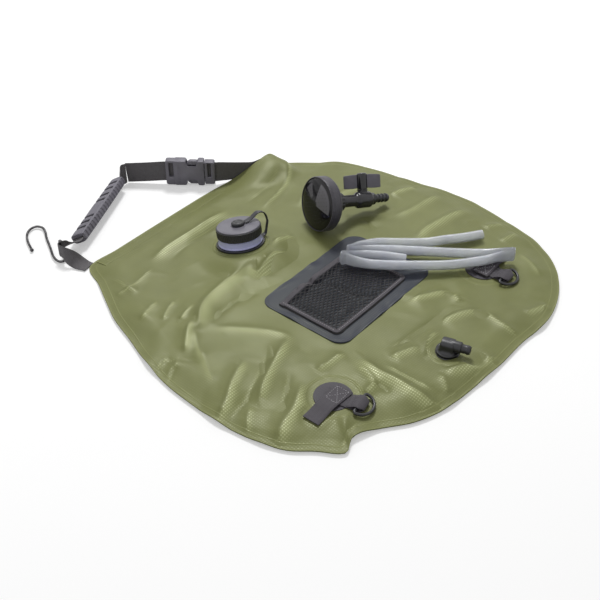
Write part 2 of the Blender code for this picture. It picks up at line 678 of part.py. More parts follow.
def build_cap():
    """The cap turns on the neck: side and top in one, grey plate, gasket and button."""
    inside = CAP_TOP - CAP_WALL_TOP
    hole = BUTTON_STEM_R + GAP
    lathe("filler_cap", [(hole, CAP_TOP), (CAP_R - CAP_EDGE, CAP_TOP), (CAP_R, CAP_TOP - CAP_EDGE),
                         (CAP_R, CAP_LOW), (CAP_R - CAP_WALL, CAP_LOW), (CAP_R - CAP_WALL, inside),
                         (hole, inside)], FILLER, (BLACK, 0.4), 36)
    plate_low = CAP_TOP + GAP
    plate_top = plate_low + PLATE_T
    lathe("cap_plate", [(PLATE_R - CAP_EDGE / 2, plate_top), (PLATE_R, plate_top - CAP_EDGE / 2),
                        (PLATE_R, plate_low), (hole, plate_low), (hole, plate_top)],
          FILLER, (PALE_GREY, 0.35), 36)
    gasket_top = inside - GAP
    gasket_in = THREAD_R - GASKET_WALL
    lathe("cap_gasket", [(THREAD_R, gasket_top), (THREAD_R, NECK_TOP + GAP), (gasket_in, NECK_TOP + GAP),
                         (gasket_in, gasket_top)], FILLER, (BLACK, 0.7), 28)
    eye_low = plate_top + GAP
    head_low = eye_low + EYE_T + GAP
    head_top = head_low + BUTTON_HEAD
    foot_top = inside - GAP
    foot_low = foot_top - BUTTON_FOOT_T
    lathe("cap_button", [(0.0, head_top), (BUTTON_R * 0.8, head_top), (BUTTON_R, head_top - BUTTON_HEAD / 2),
                         (BUTTON_R, head_low), (BUTTON_STEM_R, head_low), (BUTTON_STEM_R, foot_top),
                         (BUTTON_FOOT_R, foot_top), (BUTTON_FOOT_R, foot_low), (0.0, foot_low)],
          FILLER, (BLACK, 0.4), 28, ring=False)
    lathe("tether_eye", [(BUTTON_R, eye_low + EYE_T), (BUTTON_R, eye_low), (hole, eye_low),
                         (hole, eye_low + EYE_T)], FILLER, (BLACK, 0.45), 28)


def build_tether(ring_low):
    """The soft tongue from the button over the cap's rim to the ring at the neck."""
    start_z = CAP_TOP + 2 * GAP + PLATE_T + EYE_T / 2
    end_z = ring_low + RING_T / 2
    top_z = start_z + TETHER_LIFT
    start_r = BUTTON_R + 2 * GAP
    end_r = RING_OUT_R + 2 * GAP
    route = [(start_r, start_z), ((start_r + CAP_R) / 2, (start_z * 2 + top_z) / 3), (CAP_R, top_z),
             (TETHER_REACH - CAP_R / 12, (start_z + top_z) / 2), (TETHER_REACH, (start_z + CAP_LOW) / 2),
             (TETHER_REACH - TETHER_T, CAP_LOW), ((TETHER_REACH + end_r) / 2, end_z + TETHER_T),
             (end_r, end_z)]
    line = spaced(route, 3)
    c, s = math.cos(TETHER_TURN), math.sin(TETHER_TURN)
    centres = [(r * c, r * s, z) for r, z in line]
    across = [(-s, c, 0.0)] * len(centres)
    widths = [TETHER_WIDTH] * len(centres)
    ribbon("cap_tether", centres, across, widths, TETHER_T, FILLER, (BLACK, 0.45))


# Outlet
def build_outlet():
    """Flange in the panel, seal and the swivelling elbow with its stepped spigot."""
    low = FLANGE_RISE - FLANGE_T
    lathe("outlet_flange", [(FLANGE_R, FLANGE_RISE), (FLANGE_R, low), (FLANGE_BORE, low),
                            (FLANGE_BORE, FLANGE_RISE)], OUTLET, (BLACK, 0.4), 36)
    seal_low = FLANGE_RISE + GAP
    seal_top = seal_low + SEAL_T
    lathe("outlet_seal", [(SEAL_R_OUT, seal_top), (SEAL_R_OUT, seal_low), (SEAL_R_IN, seal_low),
                          (SEAL_R_IN, seal_top)], OUTLET, (BLACK, 0.8), 28)
    base = seal_top + GAP
    disc_top = base + ELBOW_DISC_T
    elbow = block("outlet_elbow", (-ELBOW_DEPTH / 2, -ELBOW_WIDTH / 2, disc_top - OVERRUN / 2),
                  (ELBOW_DEPTH / 2, ELBOW_WIDTH / 2, base + ELBOW_HEIGHT), OUTLET, (BLACK, 0.35), ELBOW_EDGE)
    axis_z = disc_top + (ELBOW_HEIGHT - ELBOW_DISC_T) / 2
    joined = [rod("elbow_disc", ELBOW_DISC_R, (0, 0, base), (0, 0, disc_top), OUTLET, None, 32),
              rod("elbow_step", SPIGOT_STEP_R, (0, 0, axis_z), (ELBOW_DEPTH / 2 + SPIGOT_STEP_L, 0, axis_z),
                  OUTLET, None, 24),
              rod("elbow_spigot", SPIGOT_R, (0, 0, axis_z), (ELBOW_DEPTH / 2 + SPIGOT_L, 0, axis_z),
                  OUTLET, None, 24)]
    for tool in joined:
        cut(elbow, tool, "UNION")
    cut(elbow, rod("elbow_bore_up", ELBOW_BORE, (0, 0, base - OVERRUN), (0, 0, axis_z), OUTLET, None, 20))
    cut(elbow, rod("elbow_bore_out", ELBOW_BORE, (0, 0, axis_z),
                   (ELBOW_DEPTH / 2 + SPIGOT_L + OVERRUN, 0, axis_z), OUTLET, None, 20))


# D-ring anchors
def upright(frame_name, origin, angle, parent=None):
    """A frame whose local X is the plan direction, local Y is up and local Z is sideways."""
    along = Vector((math.cos(angle), math.sin(angle), 0.0))
    up = Vector((0.0, 0.0, 1.0))
    side = along.cross(up)
    empty = frame_at(frame_name, origin, axes_matrix(along, up, side))
    if parent is not None:
        matrix = empty.matrix_world.copy()
        empty.parent = parent
        empty.matrix_world = matrix
    return empty


def arc(radius, start, end, centre, steps):
    """Points of an arc in a plane."""
    return [(centre[0] + radius * math.cos(t), centre[1] + radius * math.sin(t))
            for t in np.linspace(start, end, steps)]


def build_anchor(side, centre, turn, outward):
    """Round patch, webbing loop, hinged D-ring and the flap strap over them."""
    disc = frame_at("anchor_" + side, (*centre, PLATEAU))
    lathe("anchor_disc_" + side, [(0.0, GAP + ANCHOR_T), (ANCHOR_R, GAP + ANCHOR_T), (ANCHOR_R, GAP),
                                  (0.0, GAP)], disc, (CHARCOAL, 0.6), 36, ring=False)
    tape_low = 2 * GAP + ANCHOR_T
    tape_top = tape_low + TAPE_T
    out_r = LOOP_BORE_R + LOOP_WALL
    bar_z = tape_low + out_r
    rise = math.asin((out_r - TAPE_T) / out_r)
    outline = [(-LOOP_BACK, tape_top), (-LOOP_BACK, tape_low)]
    outline += arc(out_r, -math.pi / 2, math.pi + rise, (BAR_AT, bar_z), 18)
    hole = arc(LOOP_BORE_R, 0, 2 * math.pi, (BAR_AT, bar_z), 17)[:-1]
    stand = upright("loop_frame_" + side, (*centre, PLATEAU), turn)
    plate("web_loop_" + side, [outline, hole], -TAPE_WIDTH / 2, TAPE_WIDTH, stand, (CHARCOAL, 0.8))
    build_ring(side, centre, turn, bar_z)
    flap_low = tape_top + GAP
    way = 0.0 if outward > 0 else math.pi
    flat, slope = (FLAP_LENGTH * share for share in flap_drop_shares)
    drop = flap_low - GAP
    under = [(-FLAP_START, flap_low), (flat - FLAP_START, flap_low), (slope - FLAP_START, flap_low - drop * 0.8),
             (FLAP_LENGTH - FLAP_START, flap_low - drop)]
    profile = under + [(x, z + TAPE_T) for x, z in reversed(under)]
    lift = upright("flap_frame_" + side, (centre[0], centre[1] + FLAP_SHIFT, PLATEAU), way)
    plate("flap_strap_" + side, [profile], -TAPE_WIDTH / 2, TAPE_WIDTH, lift, (CHARCOAL, 0.8))


def build_ring(side, centre, turn, bar_z):
    """The D-ring, with its own frame on the bar's axis."""
    at = turned((BAR_AT, 0.0), turn, centre)
    along = Vector((math.cos(turn), math.sin(turn), 0.0))
    across = Vector((-math.sin(turn), math.cos(turn), 0.0))
    hinge = frame_at("ring_hinge_" + side, (*at, PLATEAU + bar_z),
                     axes_matrix(along, across, Vector((0, 0, 1))) @ Matrix.Rotation(RING_DROOP, 4, "Y"))
    points = [(0.0, y, 0.0) for y in np.linspace(-RING_HALF + BAR_R, RING_HALF - BAR_R, 3)]
    for t in np.linspace(math.pi / 2, -math.pi / 2, 13):
        points.append((BAR_R + (RING_DEPTH - BAR_R) * math.cos(t), RING_HALF * math.sin(t), 0.0))
    wire("d_ring_" + side, points, BAR_R, hinge, (BLACK, 0.35), cyclic=True)


# Pocket
def rounded(length, width, radius, centre):
    """Outline of a rectangle with round corners."""
    points = []
    for sx, sy, start in ((1, 1, 0.0), (-1, 1, 0.5), (-1, -1, 1.0), (1, -1, 1.5)):
        middle = (centre[0] + sx * (length / 2 - radius), centre[1] + sy * (width / 2 - radius))
        points += arc(radius, start * math.pi, (start + 0.5) * math.pi, middle, 5)
    return points


def build_pocket():
    """Patch, raised border on three sides and the net, open toward the top edge."""
    base = PLATEAU + GAP
    plate("pocket_patch", [rounded(PATCH_LENGTH, PATCH_WIDTH, PATCH_CORNER, (POCKET_X, POCKET_Y))],
          base, PATCH_T, None, (SLATE, 0.5))
    low = base + PATCH_T + GAP
    w = GUSSET_WIDTH
    border = [(NET_LEFT, NET_HIGH), (NET_LEFT, NET_LOW), (NET_RIGHT, NET_LOW), (NET_RIGHT, NET_HIGH),
              (NET_RIGHT - w, NET_HIGH), (NET_RIGHT - w, NET_LOW + w), (NET_LEFT + w, NET_LOW + w),
              (NET_LEFT + w, NET_HIGH)]
    plate("pocket_border", [border], low, GUSSET_HEIGHT, None, (SLATE, 0.7))
    net_low = low + GUSSET_HEIGHT + GAP
    loops = [[(NET_LEFT, NET_LOW), (NET_RIGHT, NET_LOW), (NET_RIGHT, NET_HIGH), (NET_LEFT, NET_HIGH)]]
    x0, x1, y0, y1 = NET_LEFT + w, NET_RIGHT - w, NET_LOW + w, NET_HIGH - w
    dx, dy = (x1 - x0) / NET_COLUMNS, (y1 - y0) / NET_ROWS
    for i in range(NET_COLUMNS):
        for j in range(NET_ROWS):
            cx, cy = x0 + (i + 0.5) * dx, y0 + (j + 0.5) * dy
            hx, hy = dx * net_gap_share / 2, dy * net_gap_share / 2
            loops.append([(cx - hx, cy), (cx, cy - hy), (cx + hx, cy), (cx, cy + hy)])
    plate("pocket_net", loops, net_low, NET_T, None, (BLACK, 0.8))


# Strap
def band_line(knots):
    """Centres, width directions and widths of webbing from knots of x, y, lift, roll, width.

    Roll is the angle of the width from upright; lift is the height of the lower edge.
    """
    rows = spaced([(x, y, lift, math.radians(roll), width) for x, y, lift, roll, width in knots], 3)
    plan = rows[:, :2]
    along = np.gradient(plan, axis=0)
    along /= np.linalg.norm(along, axis=1)[:, None]
    flat = np.stack([along[:, 1], -along[:, 0]], axis=1)
    roll, width = rows[:, 3], rows[:, 4]
    across = np.concatenate([flat * np.sin(roll)[:, None], np.cos(roll)[:, None]], axis=1)
    height = rows[:, 2] + (np.cos(roll) * width + np.sin(roll) * WEB_T) / 2
    return np.concatenate([plan, height[:, None]], axis=1), across, width


def grip_line():
    """Start, end and unit direction of the grip in plan."""
    start, end = np.array(GRIP_START), np.array(GRIP_END)
    return start, end, (end - start) / np.linalg.norm(end - start)


def grip_lift(width, thick):
    """Height of the lower edge of a band that lies in the grip's middle."""
    middle = FLOOR_GAP + (GRIP_WIDTH * math.cos(GRIP_ROLL) + GRIP_THICK * math.sin(GRIP_ROLL)) / 2
    return middle - (width * math.cos(GRIP_ROLL) + thick * math.sin(GRIP_ROLL)) / 2


def build_strap():
    """Webbing from the left corner round the hook, through the grip, to the fold; its last run."""
    look = (CHARCOAL, 0.8)
    start, end, along = grip_line()
    low = grip_lift(WEB_GRIP_WIDTH, WEB_T)
    roll = math.degrees(GRIP_ROLL)
    a, b = start - along * GRIP_RUN_OUT, end + along * GRIP_RUN_OUT
    hx, hy = HOOK_AT
    bend = WIRE_R + GAP + WEB_T
    twist, wide = WEB_TWIST_WIDTH, WEB_WIDTH
    left = CORNER_LEFT
    knots = [(left[0] - 0.04 * wide, left[1] + STRAP_FOOT_GAP, FLOOR_GAP, 90, twist),
             (left[0] - 0.07 * wide, left[1] + 0.16 * wide, FLOOR_GAP, 88, twist),
             (left[0] - 0.26 * wide, left[1] + 0.52 * wide, FLOOR_GAP, 50, twist),
             (hx - bend, hy - twist * 0.55, HOOK_LIFT, 8, twist),
             (hx - bend, hy - bend, HOOK_LIFT, 0, twist),
             (hx - bend * 0.71, hy + bend * 0.71, HOOK_LIFT, 0, twist),
             (hx + bend, hy + bend, HOOK_LIFT, 0, twist),
             (hx + twist * 0.5, hy + bend * 1.1, HOOK_LIFT / 2 + low / 2, roll * 0.6, twist)]
    for point in (a, start, (start + end) / 2, end, b):
        knots.append((*point, low, roll, WEB_GRIP_WIDTH))
    fold = STRAP_FOLD
    knots.append((fold[0] - WEB_T * 2.9, fold[1] - WEB_T * 1.7, FLOOR_GAP, 4, wide * 0.86))
    centres, across, widths = band_line(knots)
    ribbon("strap_left", centres, across, widths, WEB_T, None, look)
    at = np.array(BUCKLE_AT)
    way = np.array([math.cos(BUCKLE_TURN), math.sin(BUCKLE_TURN)])
    reach = WEB_SLOT_AT - GAP
    back = np.linalg.norm(at - np.array(fold))
    run = [(*(at - way * back * t + way * reach * (1 - t)), lift, 0, wide)
           for t, lift in ((1.0, FLOOR_GAP), (0.5, (FLOOR_GAP + WEB_LIFT) / 2), (0.12, WEB_LIFT), (0.0, WEB_LIFT))]
    centres, across, widths = band_line(run)
    ribbon("strap_run", centres, across, widths, WEB_T, None, look)


def build_right_strap():
    """Webbing from the plug to the raised corner, on edge behind the bag."""
    wide, corner = WEB_WIDTH, WEB_CORNER_WIDTH
    way = (math.cos(BUCKLE_TURN), math.sin(BUCKLE_TURN))
    reach = SOCKET_LENGTH + PLUG_GAP + PLUG_BASE - WEB_SLOT_AT + GAP
    start = (BUCKLE_AT[0] + way[0] * reach, BUCKLE_AT[1] + way[1] * reach)
    out = WEB_T * 1.15
    knots = [(start[0] + way[0] * wide * t, start[1] + way[1] * wide * t, WEB_LIFT, 0, wide)
             for t in (0.0, 0.16, 0.22)]
    for t, width in ((0.42, wide * 0.85), (0.66, corner), (0.86, corner)):
        x = start[0] + (CORNER_RIGHT[0] - start[0]) * t
        knots.append((x, edge_y(x) + out, FLOOR_GAP, 0, width))
    knots.append((CORNER_RIGHT[0], CORNER_RIGHT[1] + STRAP_FOOT_GAP, FLOOR_GAP, 0, corner))
    centres, across, widths = band_line(knots)
    ribbon("strap_right", centres, across, widths, WEB_T, None, (CHARCOAL, 0.8))


def build_grip():
    """Rubber sleeve on the webbing, with cross cuts in its broad face."""
    start, end, along = grip_line()
    length = float(np.linalg.norm(end - start))
    x_axis = Vector((along[0], along[1], 0.0))
    flat = Vector((along[1], -along[0], 0.0))
    wide = flat * math.sin(GRIP_ROLL) + Vector((0, 0, 1)) * math.cos(GRIP_ROLL)
    normal = x_axis.cross(wide)
    middle = grip_lift(0.0, 0.0)
    frame = frame_at("grip_frame", (*start, middle), axes_matrix(x_axis, wide, normal))
    half_w, half_t = GRIP_WIDTH / 2, GRIP_THICK / 2
    grip = block("grip", (0, -half_w, -half_t), (length, half_w, half_t), frame, (GREY, 0.5), GRIP_EDGE)
    cut(grip, block("grip_slot", (-OVERRUN, -SLOT_WIDTH / 2, -SLOT_THICK / 2),
                    (length + OVERRUN, SLOT_WIDTH / 2, SLOT_THICK / 2), frame, None))
    for number, share in enumerate(rib_cut_shares):
        x = share * length
        cut(grip, block("grip_cut_%d" % number, (x - RIB_CUT_WIDTH / 2, -half_w - OVERRUN, half_t - RIB_CUT_DEPTH),
                        (x + RIB_CUT_WIDTH / 2, half_w - GRIP_EDGE, half_t + OVERRUN), frame, None))


def build_buckle():
    """Side-release buckle on edge: socket with its windows, and the pronged plug."""
    look = (GREY, 0.4)
    along = Vector((math.cos(BUCKLE_TURN), math.sin(BUCKLE_TURN), 0.0))
    frame = frame_at("buckle_frame", (*BUCKLE_AT, FLOOR_GAP + BUCKLE_HEIGHT / 2),
                     axes_matrix(along, Vector((0, 0, 1)), along.cross(Vector((0, 0, 1)))))
    h, t = BUCKLE_HEIGHT / 2, BUCKLE_THICK / 2
    socket = block("buckle_socket", (0, -h, -t), (SOCKET_LENGTH, h, t), frame, look, BUCKLE_EDGE)
    deep = SOCKET_LENGTH * (1 - SOCKET_CAVITY_SHARE)
    inner_h, inner_t = h - SOCKET_WALL, t - SOCKET_WALL
    cut(socket, block("socket_cavity", (deep, -inner_h, -inner_t),
                      (SOCKET_LENGTH + OVERRUN, inner_h, inner_t), frame, None))
    window = (WINDOW_AT, WINDOW_AT + WINDOW_LENGTH)
    for sign, label in ((-1, "low"), (1, "high")):
        edge_low, edge_high = sorted((sign * (inner_h - PRONG_WIDTH), sign * (h + OVERRUN)))
        cut(socket, block("socket_window_" + label, (window[0], edge_low, -t - OVERRUN),
                          (window[1], edge_high, t + OVERRUN), frame, None))
    slot_h = WEB_WIDTH / 2 + GAP * 3
    cut(socket, block("socket_slot", (WEB_SLOT_AT, -slot_h, -t - OVERRUN),
                      (WEB_SLOT_AT + WEB_SLOT_LENGTH, slot_h, t + OVERRUN), frame, None))
    web_h, web_t = WEB_WIDTH / 2 + GAP, WEB_T
    cut(socket, block("socket_mouth", (-OVERRUN, -web_h, -web_t), (WEB_SLOT_AT + OVERRUN, web_h, web_t),
                      frame, None))
    build_plug(frame, look, inner_h, inner_t, window)


def build_plug(frame, look, inner_h, inner_t, window):
    """Plug base with its webbing slot, two side prongs with heads and a middle guide."""
    h, t = BUCKLE_HEIGHT / 2 - PLUG_SIDE, BUCKLE_THICK / 2 - PLUG_SIDE / 2
    start = SOCKET_LENGTH + PLUG_GAP
    end = start + PLUG_BASE
    plug = block("buckle_plug", (start, -h, -t), (end, h, t), frame, look, BUCKLE_EDGE)
    play = PRONG_PLAY
    tip = start - PRONG_LENGTH
    prong_t = inner_t - play
    for sign, label in ((-1, "low"), (1, "high")):
        outer = inner_h - play
        low, high = sorted((sign * (outer - PRONG_WIDTH / 2), sign * outer))
        cut(plug, block("prong_" + label, (tip, low, -prong_t), (start + OVERRUN, high, prong_t), frame, None),
            "UNION")
        low, high = sorted((sign * (outer - PRONG_WIDTH), sign * (outer + play / 2)))
        cut(plug, block("prong_head_" + label, (window[0] + play, low, -prong_t),
                        (window[1] - play, high, prong_t), frame, None), "UNION")
    guide = PRONG_WIDTH / 2
    cut(plug, block("plug_guide", (tip, -guide, -prong_t), (start + OVERRUN, guide, prong_t), frame, None),
        "UNION")
    slot_h = WEB_WIDTH / 2 + GAP * 3
    slot_start = end - WEB_SLOT_AT - WEB_SLOT_LENGTH
    cut(plug, block("plug_slot", (slot_start, -slot_h, -t - OVERRUN),
                    (slot_start + WEB_SLOT_LENGTH, slot_h, t + OVERRUN), frame, None))
    cut(plug, block("plug_mouth", (end - WEB_SLOT_AT - OVERRUN, -WEB_WIDTH / 2 - GAP, -WEB_T),
                    (end + OVERRUN, WEB_WIDTH / 2 + GAP, WEB_T), frame, None))


def build_hook():
    """S-hook: round bend on the floor, then a bend that rises inside the webbing's turn."""
    x, y = HOOK_AT
    z = BALL_R + GAP
    route = [(x + HOOK_LENGTH * across, y + HOOK_LENGTH * along, z + HOOK_RISE * rise)
             for (across, along), rise in zip(hook_plan_shares, hook_rise_shares)]
    points = [tuple(p) for p in spaced(route, 2)]
    hook = frame_at("hook_frame", (x, y, 0.0))
    local = [(px - x, py - y, pz) for px, py, pz in points]
    look = (STEEL, 0.3, 1.0)
    body = meshed(wire("hook", local, WIRE_R, hook, look))
    for number, at in enumerate((local[0], local[-1])):
        bm = bmesh.new()
        bmesh.ops.create_uvsphere(bm, u_segments=12, v_segments=8, radius=BALL_R)
        bmesh.ops.translate(bm, vec=at, verts=bm.verts)
        mesh = bpy.data.meshes.new("hook_ball_%d" % number)
        bm.to_mesh(mesh)
        bm.free()
        cut(body, place(bpy.data.objects.new(mesh.name, mesh), hook), "UNION")


# Shower head
def head_frame():
    """Local Z is the way to the hose end and local X is the tap's stem."""
    c, s = math.cos(HEAD_TURN), math.sin(HEAD_TURN)
    axis = Vector((c * math.cos(HEAD_DROP), s * math.cos(HEAD_DROP), -math.sin(HEAD_DROP)))
    up = (Vector((0, 0, 1)) - axis * axis.z).normalized()
    side = up.cross(axis)
    stem = up * math.cos(HEAD_ROLL) + side * math.sin(HEAD_ROLL)
    return frame_at("head_frame", (HEAD_X, HEAD_Y, HEAD_Z), axes_matrix(stem, axis.cross(stem), axis))


def up_lathe(profile):
    """A profile given along the head's axis, front first, in the order that faces outward."""
    return [(r, s) for r, s in reversed(profile)]


def build_rose(head):
    """Domed face, hollow rose body and the nut that holds it."""
    dome = [(FACE_R * math.sin(t), FACE_T - FACE_BULGE * math.cos(t) ** 1.5)
            for t in np.linspace(0, math.pi / 2, 6)]
    face = [(0.0, FACE_T + FACE_T)] + [(FACE_R, FACE_T + FACE_T)] + list(reversed(dome[1:])) + [(0.0, dome[0][1])]
    lathe("rose_face", face, head, (BLACK, 0.15), 36, ring=False)
    outer, seat = ROSE_R, FACE_R + GAP
    floor = FACE_T * 2 + GAP
    back = COLLAR_START - WASHER_T - 2 * GAP
    hollow = FACE_R - ROSE_WALL
    body = [(seat, 0.0), (outer - ROSE_LIP / 2, 0.0), (outer, ROSE_LIP), (outer, ROSE_RIM),
            (outer * 0.72, ROSE_BACK), (BODY_R, back), (WATERWAY_R, back),
            (WATERWAY_R, ROSE_BACK), (hollow * 0.7, ROSE_BACK - ROSE_WALL), (hollow, ROSE_RIM - ROSE_WALL),
            (hollow, floor), (seat, floor)]
    lathe("rose_body", up_lathe(body), head, (CHARCOAL, 0.55), 36)
    nut = [(WATERWAY_R, COLLAR_START), (COLLAR_R - COLLAR_EDGE, COLLAR_START), (COLLAR_R, COLLAR_START + COLLAR_EDGE),
           (COLLAR_R, COLLAR_END - COLLAR_EDGE), (COLLAR_R - COLLAR_EDGE, COLLAR_END), (WATERWAY_R, COLLAR_END)]
    lathe("rose_nut", up_lathe(nut), head, (BLACK, 0.4), 28)
    washer = [(WATERWAY_R, back + GAP), (WASHER_R, back + GAP), (WASHER_R, COLLAR_START - GAP),
              (WATERWAY_R, COLLAR_START - GAP)]
    lathe("rose_washer", up_lathe(washer), head, (BLACK, 0.8), 24)


def build_valve(head):
    """Valve body with its ball, two seats, packing, stem and butterfly lever."""
    start = COLLAR_END + GAP
    chamber = BALL_VALVE_R + SEAT_T + GAP * 2
    body = rod("valve_body", BODY_R, (0, 0, start), (0, 0, BODY_END), head, (BLACK, 0.35), 32)
    room = rod("valve_housing", HOUSING_R, (0, 0, STEM_AT - HOUSING_R), (0, 0, STEM_AT + HOUSING_R), head, None, 32)
    cut(body, room, "UNION")
    cut(body, rod("valve_bonnet", BONNET_R, (0, 0, STEM_AT), (BONNET_TOP, 0, STEM_AT), head, None),
        "UNION")
    cut(body, rod("valve_way", WATERWAY_R, (0, 0, start - OVERRUN), (0, 0, STEM_AT), head, None, 24))
    seat_r = BALL_VALVE_R + GAP
    cut(body, rod("valve_chamber", seat_r, (0, 0, STEM_AT - chamber), (0, 0, BODY_END + OVERRUN), head, None))
    cut(body, rod("stem_hole", STEM_R + GAP, (0, 0, STEM_AT), (LEVER_TOP, 0, STEM_AT), head, None, 24))
    ring_low = BONNET_TOP - PACKING_T - 2 * GAP
    cut(body, rod("packing_seat", PACKING_R + GAP, (ring_low - GAP, 0, STEM_AT), (LEVER_TOP, 0, STEM_AT), head,
                  None, 24))
    bm = bmesh.new()
    bmesh.ops.create_uvsphere(bm, u_segments=16, v_segments=12, radius=BALL_VALVE_R)
    mesh = bpy.data.meshes.new("valve_ball")
    bm.to_mesh(mesh)
    bm.free()
    tap = frame_at("tap_frame", (0, 0, 0))
    tap.parent = head
    tap.matrix_world = head.matrix_world @ Matrix.Translation((0, 0, STEM_AT)) @ Matrix.Rotation(LEVER_TURN, 4, "X")
    ball = place(smooth(bpy.data.objects.new("valve_ball", mesh)), tap, (PALE_GREY, 0.3))
    cut(ball, rod("ball_bore", WATERWAY_R, (0, 0, -2 * BALL_VALVE_R), (0, 0, 2 * BALL_VALVE_R), tap, None, 20))
    contact = math.sqrt((BALL_VALVE_R + GAP) ** 2 - WATERWAY_R ** 2)
    for sign, label in ((-1, "front"), (1, "back")):
        face = sorted((STEM_AT + sign * contact, STEM_AT + sign * (chamber - GAP)))
        ring = [(WATERWAY_R, face[1]), (seat_r - GAP, face[1]), (seat_r - GAP, face[0]), (WATERWAY_R, face[0])]
        lathe("ball_seat_" + label, ring, head, (PALE_GREY, 0.5), 24)
    build_tap(tap, ring_low)


def build_tap(tap, ring_low):
    """Packing ring, then stem and lever, which turn together; local X runs up the stem."""
    foot = BALL_VALVE_R + GAP
    packing = rod("stem_packing", PACKING_R, (ring_low, 0, 0), (ring_low + PACKING_T, 0, 0), tap, (BLACK, 0.8), 24)
    cut(packing, rod("packing_hole", STEM_R + GAP, (foot, 0, 0), (STEM_TOP, 0, 0), tap, None, 24))
    rod("valve_stem", STEM_R, (foot, 0, 0), (STEM_TOP, 0, 0), tap, (BLACK, 0.35), 24)
    lever = rod("tap_lever", LEVER_HUB_R, (LEVER_LOW, 0, 0), (LEVER_TOP, 0, 0), tap, (CHARCOAL, 0.35), 28)
    cut(lever, block("lever_wings", (WING_LOW, -WING_T / 2, -WING_LENGTH / 2), (WING_TOP, WING_T / 2, WING_LENGTH / 2),
                     tap, None), "UNION")
    cut(lever, rod("lever_socket", STEM_R + GAP, (LEVER_LOW - OVERRUN, 0, 0), (STEM_TOP + GAP, 0, 0), tap, None, 24))


def build_barb(head):
    """Hose tail: flange against the valve body and a ribbed spigot with an open bore."""
    start = BODY_END + GAP
    flange_end = start + BARB_FLANGE_T
    length = (BARB_TIP - flange_end) / BARB_COUNT
    outer = [(BARB_BORE, start), (BARB_FLANGE_R, start), (BARB_FLANGE_R, flange_end)]
    for i in range(BARB_COUNT):
        s = flange_end + i * length
        outer += [(BARB_ROOT_R, s), (BARB_ROOT_R, s + length * 0.25), (BARB_R, s + length * 0.35),
                  (BARB_R * 0.85, s + length)]
    outer.append((BARB_BORE, BARB_TIP))
    lathe("hose_tail", up_lathe(outer), head, (BLACK, 0.4), 20)


# Hose
def hose_line():
    """Centre points of the hose with how flat it is at each, from the runs and folds."""
    rows = []
    for number, run in enumerate(HOSE_RUNS):
        rows += [(*p, 0.0) for p in run]
        if number < len(HOSE_FOLDS):
            (cx, cy, cz), way = HOSE_FOLDS[number]
            before, after = np.array(run[-1][:2]), np.array(HOSE_RUNS[number + 1][0][:2])
            out = np.array([math.cos(way), math.sin(way)])
            side = np.array([-out[1], out[0]])
            if np.dot(before - after, side) < 0:
                side = -side
            middle = np.array([cx, cy])
            for leg, angle in ((1.0, -90), (0.0, -90), (0.0, -45), (0.0, 0), (0.0, 45), (0.0, 90), (1.0, 90)):
                a = math.radians(angle)
                point = middle + out * (CREASE_BEND * math.cos(a) - leg * CREASE_LEG)
                point = point - side * CREASE_BEND * math.sin(a)
                rows.append((point[0], point[1], cz, 1.0))
    return np.array(rows)


def hose_rings():
    """Outer and inner rings: round along the runs and flat at the folds."""
    knots = hose_line()
    line = []
    for i in range(len(knots) - 1):
        near = knots[i, 3] + knots[i + 1, 3] > 0
        steps = 1 if knots[i, 3] + knots[i + 1, 3] > 1.5 else (2 if near else 1)
        span = spaced(knots[max(i - 1, 0):i + 3, :3], steps)
        first = steps * (1 if i > 0 else 0)
        line += list(span[first:first + steps])
    line.append(knots[-1, :3])
    line = np.array(line)
    step = np.linalg.norm(np.diff(line, axis=0), axis=1)
    along = np.concatenate([[0], np.cumsum(step)])
    flat = np.zeros(len(line))
    for (cx, cy, _), _ in HOSE_FOLDS:
        nearest = along[np.argmin(np.hypot(line[:, 0] - cx, line[:, 1] - cy))]
        flat = np.maximum(flat, 1 - ease((np.abs(along - nearest) - CREASE_BEND) / CREASE_SPREAD))
    tangent = np.gradient(line, axis=0)
    tangent[:, 2] = 0
    tangent /= np.linalg.norm(tangent, axis=1)[:, None]
    side = np.stack([-tangent[:, 1], tangent[:, 0], np.zeros(len(line))], axis=1)
    up = np.array([0.0, 0.0, 1.0])
    rings = []
    for half_t, half_h, round_r in ((CREASE_HALF_T, CREASE_HALF_H, HOSE_R),
                                    (CREASE_BORE_T, CREASE_BORE_H, HOSE_BORE_R)):
        a = round_r + (half_t - round_r) * flat
        b = round_r + (half_h - round_r) * flat
        angles = np.linspace(0, 2 * math.pi, HOSE_SIDES, endpoint=False)
        rings.append([[c + side[i] * a[i] * math.cos(t) + up * b[i] * math.sin(t) for t in angles]
                      for i, c in enumerate(line)])
    print("hose length %.3f m, rings %d" % (along[-1], len(line)))
    return rings


def build_hose():
    """The clear hose: its outer rings, then its bore rings back to the start."""
    outer, inner = hose_rings()
    loft("hose", outer + inner[::-1], None, (CLEAR, 0.1), closed_rings=True)


# Build
FILLER = frame_at("filler_frame", (FILLER_X, FILLER_Y, FILLER_Z), filler_axes())
OUTLET = frame_at("outlet_frame", (OUTLET_X, OUTLET_Y, PLATEAU), Matrix.Rotation(OUTLET_TURN, 4, "Z"))
build_bag()
build_hem()
build_filler()
build_outlet()
build_anchor("left", ANCHOR_LEFT, ANCHOR_LEFT_TURN, -1)
build_anchor("right", ANCHOR_RIGHT, ANCHOR_RIGHT_TURN, 1)
build_pocket()
build_strap()
build_right_strap()
build_grip()
build_buckle()
build_hook()
HEAD = head_frame()
build_rose(HEAD)
build_valve(HEAD)
build_barb(HEAD)
build_hose()
bpy.context.view_layer.update()
